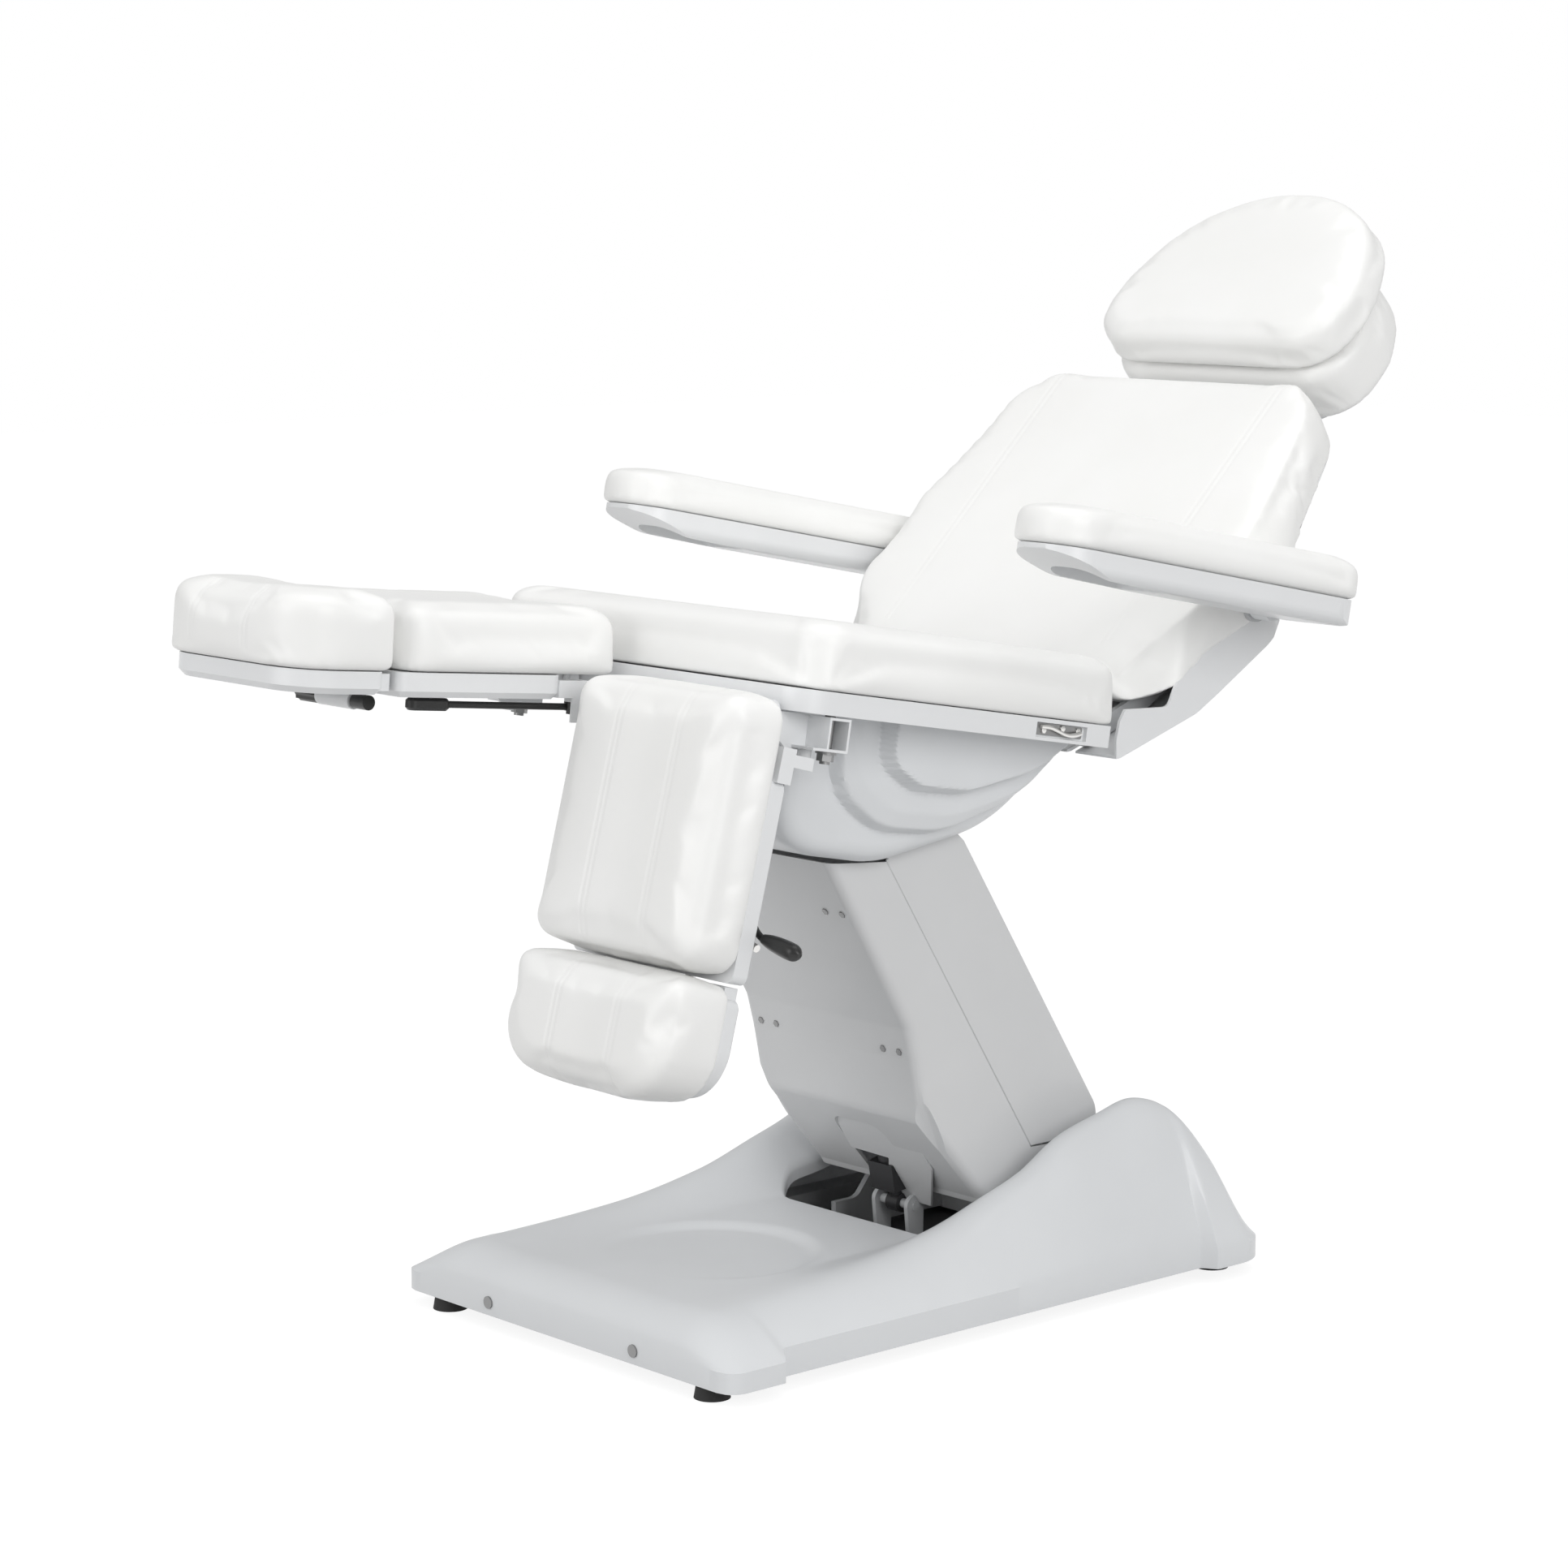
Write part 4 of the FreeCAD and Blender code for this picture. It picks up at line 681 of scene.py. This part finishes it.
def wellWall():
    # The well's wall, which rolls over outwards at its top to meet the housing
    b = baseLook
    wall = outlineForm("wellWall", wellOutline(0), 0, 1, segments=10)
    pickVertices(wall, lambda place: False)
    bpy.ops.mesh.select_mode(type="FACE")
    bpy.ops.object.mode_set(mode="OBJECT")
    for face in wall.data.polygons:
        face.select = abs(face.normal.z) > 0.5
    bpy.ops.object.mode_set(mode="EDIT")
    bpy.ops.mesh.delete(type="ONLY_FACE")
    bpy.ops.mesh.select_all(action="SELECT")
    bpy.ops.mesh.subdivide(number_cuts=b["wellRows"] - 1)
    bpy.ops.mesh.flip_normals()
    bpy.ops.object.mode_set(mode="OBJECT")
    centre = Vector((0, (b["wellFront"] + b["wellRear"]) / 2, 0))
    reach = Vector((b["wellHalf"], (b["wellRear"] - b["wellFront"]) / 2, 0))
    straight = b["wellRows"] - b["rollRows"]
    for vertex in wall.data.vertices:
        row = round(vertex.co.z * 1000 * b["wellRows"])
        place = vertex.co * 1000
        away = place - centre
        corner = Vector((max(0, abs(away.x) - reach.x + b["wellCorner"]),
                         max(0, abs(away.y) - reach.y + b["wellCorner"]), 0))
        outwards = Vector((math.copysign(corner.x, away.x), math.copysign(corner.y, away.y), 0)).normalized()
        angle = max(0, row - straight) / b["rollRows"] * math.pi / 2
        place += outwards * b["lip"] * (1 - math.cos(angle))
        top = coverHeight(place.x, place.y)
        height = top - b["lip"] - b["lipDrop"] * (1 - min(1, row / straight))
        vertex.co = (place.x / 1000, place.y / 1000, (height + b["lip"] * math.sin(angle)) / 1000)
    applyModifier(wall, "SOLIDIFY", thickness=b["wall"] / 1000 * 0.75, offset=-1)
    return wall


def baseCover():
    b = baseLook
    cover = drapeGrid("baseHousing")
    skirt(cover, b["rim"])
    applyModifier(cover, "SOLIDIFY", thickness=b["wall"] / 1000, offset=-1)
    combine(cover, outlineForm("wellCutter", wellOutline(b["lip"]), 0, 400, segments=10), "DIFFERENCE")
    wall = wellWall()
    clearSelection()
    wall.select_set(True)
    cover.select_set(True)
    bpy.context.view_layer.objects.active = cover
    bpy.ops.object.join()
    finishPiece(cover, "floor", "base", "moulded_base", 30)
    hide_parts("base_cover")
    print("base housing", len(cover.data.vertices), "points")


baseCover()

# a dark pressed pan closes the housing from below, painted shade that darkens the well where the floor
# beneath lies in shadow
paintedShadePanLook = {"halfWidth": 262.0, "front": -300.0, "rear": 415.0, "level": 19.0, "thick": 1.5, "lip": 7.0,
           "corner": 30.0}


def paintedShadePan():
    p = paintedShadePanLook
    half = p["halfWidth"]
    corners = [(-half, p["front"], p["corner"]), (half, p["front"], p["corner"]),
               (half, p["rear"], p["corner"]), (-half, p["rear"], p["corner"])]
    pan = outlineForm("paintedShadePan", corners, p["level"] - p["thick"], p["level"])
    pickVertices(pan, lambda place: place.z > p["level"] - 0.5)
    bpy.ops.mesh.inset(thickness=p["lip"] / 1000, depth=0)
    bpy.ops.mesh.extrude_region_move(TRANSFORM_OT_translate={"value": (0, 0, -p["thick"] / 2000)})
    bpy.ops.object.mode_set(mode="OBJECT")
    applyModifier(pan, "BEVEL", width=0.0004, segments=2, limit_method="ANGLE")
    # its black finish is painted shade for the shadowed floor seen through the well
    finishPiece(pan, "floor", "base", "motor_black", 35)


paintedShadePan()

# seat cowl: a bowl under the seat with stepped crescents on its sides
cowlTop = -4.0
cowlLook = {
    "half": 185.0, "round": 24.0, "wall": 3.5, "rearCut": 232.0, "slotHalf": 156.0, "slotFront": -108.0,
    "rows": 170, "rings": 62, "bottomColumns": 24, "innerFront": -30.0, "innerRear": 140.0,
    "stepWall": 7.0, "firstStep": 15.0, "slope": 9.0, "lastStep": 21.0, "lastWall": 9.0, "crown": 3.0,
    "bowl": [(-172, cowlTop), (-170, -167, 80), (0, -171, 170), (172, -116, 230), (290, cowlTop)],
    "firstLine": [(-108, cowlTop), (-106, -92, 80), (-30, -133, 110), (70, -131, 160), (180, -84, 200),
                  (262, cowlTop)],
    "ridgeLine": [(-82, cowlTop), (-80, -76, 60), (-12, -107, 90), (80, -105, 150), (190, -66, 200),
                  (262, cowlTop)],
    "lastLine": [(-56, cowlTop), (-54, -56, 50), (0, -82, 70), (80, -81, 120), (190, -48, 180),
                 (250, cowlTop)],
}


def roundedLine(corners, perCorner=10):
    # The points of an open line whose corners are rounded with short smooth curves
    points = [Vector(corners[0][:2])]
    for index in range(1, len(corners) - 1):
        here = Vector(corners[index][:2])
        reach = cornerReach(corners, index)
        start = here + (Vector(corners[index - 1][:2]) - here).normalized() * reach
        end = here + (Vector(corners[index + 1][:2]) - here).normalized() * reach
        for step in range(perCorner + 1):
            share = step / perCorner
            points.append(start * (1 - share) ** 2 + here * 2 * share * (1 - share) + end * share ** 2)
    points.append(Vector(corners[-1][:2]))
    return points


def alongLine(points, share):
    # The point at a share of a line's length
    lengths = [(points[index + 1] - points[index]).length for index in range(len(points) - 1)]
    rest = share * sum(lengths)
    for index, length in enumerate(lengths):
        if rest <= length or index == len(lengths) - 1:
            return points[index].lerp(points[index + 1], min(1.0, rest / length if length else 0))
        rest -= length


def insideBy(points, place):
    # How far a place is inside a bowl-shaped line that is open at its top, below nought outside
    nearest, crossings = 1e9, 0
    for index in range(len(points) - 1):
        start, run = points[index], points[index + 1] - points[index]
        if run.length < 1e-6:
            continue
        share = max(0.0, min(1.0, (place - start).dot(run) / run.length_squared))
        nearest = min(nearest, (place - start - run * share).length)
        low, high = sorted((start.x, start.x + run.x))
        if low <= place.x < high and start.y + run.y * (place.x - start.x) / run.x < place.y:
            crossings += 1
    return nearest if crossings % 2 else -nearest


def cowlSide(place, lines):
    # The cowl's half width at a place of its side
    c = cowlLook
    edge = max(0.0, c["round"] - max(0.0, insideBy(lines["bowl"], place)))
    half = c["half"] - c["round"] + math.sqrt(c["round"] ** 2 - edge ** 2)
    first, ridge, last = [insideBy(lines[name], place) for name in ("firstLine", "ridgeLine", "lastLine")]
    if first > 0:
        half += c["firstStep"] * smoothStep(first / c["stepWall"])
        half += c["slope"] * (1 if ridge > 0 else first / (first - ridge))
    if last > 0:
        half += c["lastStep"] * smoothStep(last / c["lastWall"]) + c["crown"] * smoothStep(last / 60)
    return half


def seatCowl():
    c = cowlLook
    lines = {name: roundedLine(c[name]) for name in ("bowl", "firstLine", "ridgeLine", "lastLine")}
    columns = 2 * c["rings"] + c["bottomColumns"]
    clearSelection()
    bpy.ops.mesh.primitive_grid_add(x_subdivisions=columns, y_subdivisions=c["rows"], size=1)
    cowl = bpy.context.object
    cowl.name = "seatCowl"
    edgeShare = c["bottomColumns"] / columns
    flat = c["half"] - c["round"]
    slotShare = 1 - 2 / c["bottomColumns"]
    for vertex in cowl.data.vertices:
        across, along = vertex.co.x * 2, vertex.co.y + 0.5
        rim = alongLine(lines["bowl"], along)
        if abs(across) <= edgeShare + 1e-5:
            share = abs(across) / edgeShare
            if share <= slotShare:
                x = c["slotHalf"] * share / slotShare
            else:
                x = c["slotHalf"] + (flat - c["slotHalf"]) * (share - slotShare) / (1 - slotShare)
            place = rim
        else:
            share = (abs(across) - edgeShare) / (1 - edgeShare)
            middle = Vector((c["innerFront"] + (c["innerRear"] - c["innerFront"]) * along, cowlTop))
            place = rim.lerp(middle, 0.6 * share + 0.4 * share ** 2)
            x = cowlSide(place, lines)
        vertex.co = (math.copysign(x, across) / 1000, place.x / 1000, place.y / 1000)
    applyModifier(cowl, "SMOOTH", factor=0.5, iterations=1)
    bpy.ops.object.mode_set(mode="EDIT")
    bpy.ops.mesh.select_all(action="SELECT")
    bpy.ops.mesh.bisect(plane_co=(0, c["rearCut"] / 1000, 0), plane_no=(0, 1, 0), clear_outer=True)
    bpy.ops.mesh.select_mode(type="FACE")
    bpy.ops.mesh.select_all(action="DESELECT")
    bpy.ops.object.mode_set(mode="OBJECT")
    for face in cowl.data.polygons:
        face.select = (abs(face.center.x) * 1000 < c["slotHalf"] and face.center.y * 1000 > c["slotFront"]
                       and abs(face.normal.x) < 0.3)
    bpy.ops.object.mode_set(mode="EDIT")
    bpy.ops.mesh.delete(type="FACE")
    bpy.ops.object.mode_set(mode="OBJECT")
    sideways = sum(face.normal.x * math.copysign(face.area, face.center.x) for face in cowl.data.polygons)
    if sideways < 0:
        pickVertices(cowl, lambda place: True)
        bpy.ops.mesh.flip_normals()
        bpy.ops.object.mode_set(mode="OBJECT")
    applyModifier(cowl, "SOLIDIFY", thickness=c["wall"] / 1000, offset=-1)
    finishPiece(cowl, "seat", "seat", "moulded_base", 40)
    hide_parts("seat_cowl")
    print("seat cowl", len(cowl.data.vertices), "points")


seatCowl()

# moulded and pressed parts: node, body, finish and the rounding of their edges in mm
softParts = {
    "columnFront": ("column_front_casing", "lift_arm", "casing_paint", 3.0),
    "columnRear": ("column_rear_casing", "lift_arm", "casing_paint", 3.0),
    "seatTray": ("seat_tray", "seat", "pale_shell", 1.5),
    "headShell": ("head_shell", "headrest", "pale_shell", 1.5),
}
for sideName in sideSigns:
    softParts[sideName + "SwivelBracket"] = (sideName + "_swivel_bracket", sideName + "_bracket",
                                             "pale_shell", 0.8)


def softenParts():
    for name, (node, body, finishName, edge) in softParts.items():
        softenedCopy(name, node, body, finishName, edge)


softenParts()

# the arm and foot shells end where the photograph's do, and the leg and foot shells are as wide as there
fitLook = {"armFrom": -100.0, "armTo": -350.0, "armFront": 75.0, "armRearFrom": 26.0, "armRearTo": 42.0,
           "armRear": 19.0, "footFrom": -335.0, "footTo": -405.0, "footFront": 31.0, "legFrom": 120.0,
           "legTo": 250.0, "legOuter": 11.0, "edge": 2.0}


def easedMove(along, start, end, move):
    # None before start, the whole move past end, and a growing part between them
    return move * clamped((along - start) / (end - start))


def armMove(place):
    f = fitLook
    place.y += (easedMove(place.y, f["armFrom"], f["armTo"], f["armFront"])
                + easedMove(place.y, f["armRearFrom"], f["armRearTo"], f["armRear"]))


def legMove(place):
    f = fitLook
    place.x += math.copysign(easedMove(abs(place.x), f["legFrom"], f["legTo"], f["legOuter"]), place.x)


def footMove(place):
    f = fitLook
    place.y += easedMove(place.y, f["footFrom"], f["footTo"], f["footFront"])
    legMove(place)


def fittedShell(name, node, body, frameName, move):
    toWorld = frameMatrix(frameName)
    toFrame = toWorld.inverted()

    def shape(point):
        place = (toFrame @ point) * 1000
        move(place)
        return toWorld @ (place / 1000)
    softenedCopy(name, node, body, "pale_shell", fitLook["edge"], shape=shape)


for sideName in sideSigns:
    legFrame = sideName + "Leg"
    fittedShell(sideName + "ArmShell", sideName + "_arm_shell", sideName + "_arm", "arm", armMove)
    fittedShell(sideName + "FootShell", sideName + "_foot_shell", sideName + "_foot", legFrame, footMove)
    fittedShell(sideName + "LegShell", sideName + "_leg_shell", sideName + "_leg", legFrame, legMove)

shellLook = {"edge": 2.0, "cuts": (-30, 0, 31, 55, 80, 102, 124, 150, 180, 215, 260, 320, 380),
             "taperFrom": 130.0, "taperRun": 90.0, "taper": 1.3, "step": 4.0, "sides": 180.0, "lap": 9.0,
             "edgeLow": -52.0, "edgeDrop": 14.5, "edgeFrom": -60.0, "edgeRun": 50.0, "raiseFrom": -62.0,
             "raiseRun": 27.0}


def backShell():
    # The shell's rim laps over the cushion's edge, and its sides slope in behind the upper back
    s = shellLook
    toWorld = frameMatrix("back")
    toBack = toWorld.inverted()

    def underCushion(point):
        place = (toBack @ point) * 1000
        level = rimLevel(place.y) + s["lap"]
        edge = s["edgeLow"] - s["edgeDrop"] * clamped((place.y - s["edgeFrom"]) / s["edgeRun"])
        if place.y > s["raiseFrom"] and place.z > edge - 3:
            place.z += (level - place.z) * smoothStep((place.y - s["raiseFrom"]) / s["raiseRun"])
        elif place.y > s["raiseFrom"] + s["raiseRun"]:
            place.z = min(place.z, level)
        share = smoothStep((place.y - s["taperFrom"]) / s["taperRun"])
        if abs(place.x) > s["sides"] and place.z < level:
            place.x -= math.copysign(s["taper"] * share * (level - place.z) + s["step"] * share, place.x)
        return toWorld @ (place / 1000)
    cuts = [(toWorld @ Vector((0, y / 1000, 0)), toWorld.to_3x3() @ Vector((0, 1, 0))) for y in s["cuts"]]
    softenedCopy("backShell", "back_shell", "backrest", "pale_shell", s["edge"], cuts, underCushion)


backShell()

# latches let into the sides of the seat's tray: a dark plate, its darkness partly zinc and partly painted
# shade for the shadowed recess, a twisted steel catch and its two screws
latchLook = {"face": 286.2, "start": 116.0, "end": 192.0, "low": 2.5, "high": 16.0,
             "catch": [(289, 122, 12, 2.6), (291, 133, 13, 3.0), (291.5, 148, 9, 2.2), (291, 163, 5, 2.4),
                       (291, 178, 6, 3.4), (289, 188, 9, 3.0)],
             "thick": 1.2, "screws": ((127, 8), (158, 12), (184, 11)), "screwRadius": 4.2,
             "screwThick": 3.0, "screwOut": 2.4}


def screwHead(name, radius, thick, place, sign):
    # A domed six-sided screw head on the side of the seat
    clearSelection()
    bpy.ops.mesh.primitive_cylinder_add(vertices=6, radius=radius / 1000, depth=thick / 1000,
                                        location=(sign * place[0] / 1000, place[1] / 1000, place[2] / 1000),
                                        rotation=(0, math.pi / 2, 0))
    head = bpy.context.object
    head.name = name
    bpy.ops.object.transform_apply(location=True, rotation=True, scale=True)
    applyModifier(head, "BEVEL", width=0.0009, segments=2, limit_method="ANGLE")


def latches():
    t = latchLook
    for sideName, sign in sideSigns.items():
        corners = [(t["start"], t["low"], 2), (t["end"], t["low"], 2), (t["end"], t["high"], 2),
                   (t["start"], t["high"], 2)]
        ends = sorted((sign * t["face"], sign * (t["face"] + t["thick"])))
        plate = outlineForm(sideName + "LatchShadePlate", corners, ends[0], ends[1], side=True)
        # the plate's dark zinc finish is partly painted shade for the shadowed recess the plate stands in for
        finishPiece(plate, "seat", "seat", "zinc", 35)
        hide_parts("latch_plates")
        catch = sweptRod(sideName + "LatchCatch", [(sign * x, y, z, r) for x, y, z, r in t["catch"]])
        for along, height in t["screws"]:
            place = (t["face"] + t["screwOut"], along, height)
            screwHead("latchScrew", t["screwRadius"], t["screwThick"], place, sign)
            catch.select_set(True)
            bpy.context.view_layer.objects.active = catch
            bpy.ops.object.join()
        finishPiece(catch, "seat", "seat", "steel", 40)


latches()

# the left leg's release lever: a rod that bends out behind the calf rest and ends in a black grip
leverLook = {"boss": [(270, -50, -22.7, 9), (270, -50, -32, 9)],
             "rod": [(270, -50, -27, 4), (262, -110, -27, 4), (259, -205, -27, 4), (264, -244, -28, 4),
                     (288, -252, -30, 4)],
             "grip": [(284, -250, -30, 5.5), (292, -251.5, -31, 8), (312, -254.5, -31, 10),
                      (330, -257.5, -31, 10.5), (340, -259, -31, 9), (345, -260, -31, 3)],
             "nub": [(262, -257, -27, 5), (280, -262, -27, 4.5)]}


def leftLever():
    lever = sweptRod("leftLever", leverLook["rod"])
    for part in ("boss", "grip"):
        sweptRod("leverPart", leverLook[part], 7)
        lever.select_set(True)
        bpy.context.view_layer.objects.active = lever
        bpy.ops.object.join()
    finishPiece(lever, "leftLeg", "left_lever", "handle_black", 40)
    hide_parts("left_leg_lever")
    nub = sweptRod("leftLeverEnd", leverLook["nub"])
    finishPiece(nub, "leftLeg", "left_lever", "steel", 40)


leftLever()

# the grey plate behind the opening at the column's foot, parallel to the leaning casing
footPlate = {"corners": [(-44, 212), (100, 214), (95, 153), (52, 93), (-22, 93), (21, 155), (-45, 157)],
             "top": 206.0, "back": 3.0, "lean": 0.68, "thick": 3.0}


def openingPlate():
    p = footPlate
    plate = outlineForm("openingPlate", [(x, z, 1) for x, z in p["corners"]], 0, p["thick"])
    for vertex in plate.data.vertices:
        x, z, depth = vertex.co * 1000
        vertex.co = Vector((x, p["back"] + (p["top"] - z) * p["lean"] - depth, z)) / 1000
    finishPiece(plate, "whole", "lift_arm", "casing_paint", 35)


openingPlate()

# studio: a white floor and soft lamps, each with its place and the point it faces in metres, size and power
studio = {"floorSize": 30.0, "world": 0.55, "floorColour": 0.45, "floorGlow": 0.87, "shadowPart": 0.25,
          "lamps": [("keyLamp", (4.2, -0.8, 2.4), (0, 0, 0.7), 2.6, 76.0),
                    ("fillLamp", (-0.6, -4.6, 2.3), (0, 0, 0.5), 3.0, 62.0),
                    ("topLamp", (0.2, 0.6, 4.4), (0, 0, 0.5), 3.0, 40.0)]}


def stageMaterial():
    # Seen by the camera and in reflections as white, while it still takes the chair's shadow from the lamps
    material = bpy.data.materials.new("studioWhite")
    material.use_nodes = True
    nodes = material.node_tree.nodes
    links = material.node_tree.links
    grey = studio["floorColour"]
    nodes["Principled BSDF"].inputs["Base Color"].default_value = (grey, grey, grey, 1)
    nodes["Principled BSDF"].inputs["Roughness"].default_value = 0.9
    path = nodes.new("ShaderNodeLightPath")
    seen = nodes.new("ShaderNodeMath")
    seen.operation = "MAXIMUM"
    glow = nodes.new("ShaderNodeEmission")
    glow.inputs["Strength"].default_value = studio["floorGlow"]
    shadow = nodes.new("ShaderNodeBsdfDiffuse")
    shadow.inputs["Color"].default_value = (studio["shadowPart"],) * 3 + (1,)
    both = nodes.new("ShaderNodeAddShader")
    mix = nodes.new("ShaderNodeMixShader")
    links.new(path.outputs["Is Camera Ray"], seen.inputs[0])
    links.new(path.outputs["Is Glossy Ray"], seen.inputs[1])
    links.new(seen.outputs["Value"], mix.inputs["Fac"])
    links.new(glow.outputs["Emission"], both.inputs[0])
    links.new(shadow.outputs["BSDF"], both.inputs[1])
    links.new(nodes["Principled BSDF"].outputs["BSDF"], mix.inputs[1])
    links.new(both.outputs["Shader"], mix.inputs[2])
    links.new(mix.outputs["Shader"], nodes["Material Output"].inputs["Surface"])
    return material


def addLamp(name, place, aim, size, power):
    turn = (Vector(aim) - Vector(place)).to_track_quat("-Z", "Y").to_euler()
    bpy.ops.object.light_add(type="AREA", location=place, rotation=turn)
    lamp = bpy.context.object
    lamp.name = name
    lamp.data.size = size
    lamp.data.energy = power


def buildStudio():
    clearSelection()
    bpy.ops.mesh.primitive_plane_add(size=studio["floorSize"], location=(0, 0, 0))
    floor = bpy.context.object
    floor.name = "studioFloor"
    floor.data.materials.append(stageMaterial())
    for lamp in studio["lamps"]:
        addLamp(*lamp)
    world = bpy.data.worlds.new("studioWorld")
    bpy.context.scene.world = world
    world.use_nodes = True
    nodes = world.node_tree.nodes
    links = world.node_tree.links
    background = nodes["Background"]
    background.inputs["Color"].default_value = (1, 1, 1, 1)
    background.inputs["Strength"].default_value = studio["world"]
    seen = nodes.new("ShaderNodeBackground")
    seen.inputs["Color"].default_value = (1, 1, 1, 1)
    path = nodes.new("ShaderNodeLightPath")
    mix = nodes.new("ShaderNodeMixShader")
    links.new(path.outputs["Is Camera Ray"], mix.inputs["Fac"])
    links.new(background.outputs["Background"], mix.inputs[1])
    links.new(seen.outputs["Background"], mix.inputs[2])
    links.new(mix.outputs["Shader"], nodes["World Output"].inputs["Surface"])


buildStudio()
bpy.context.scene.view_settings.view_transform = "Standard"
print("studio built")

bpy.context.view_layer.update()
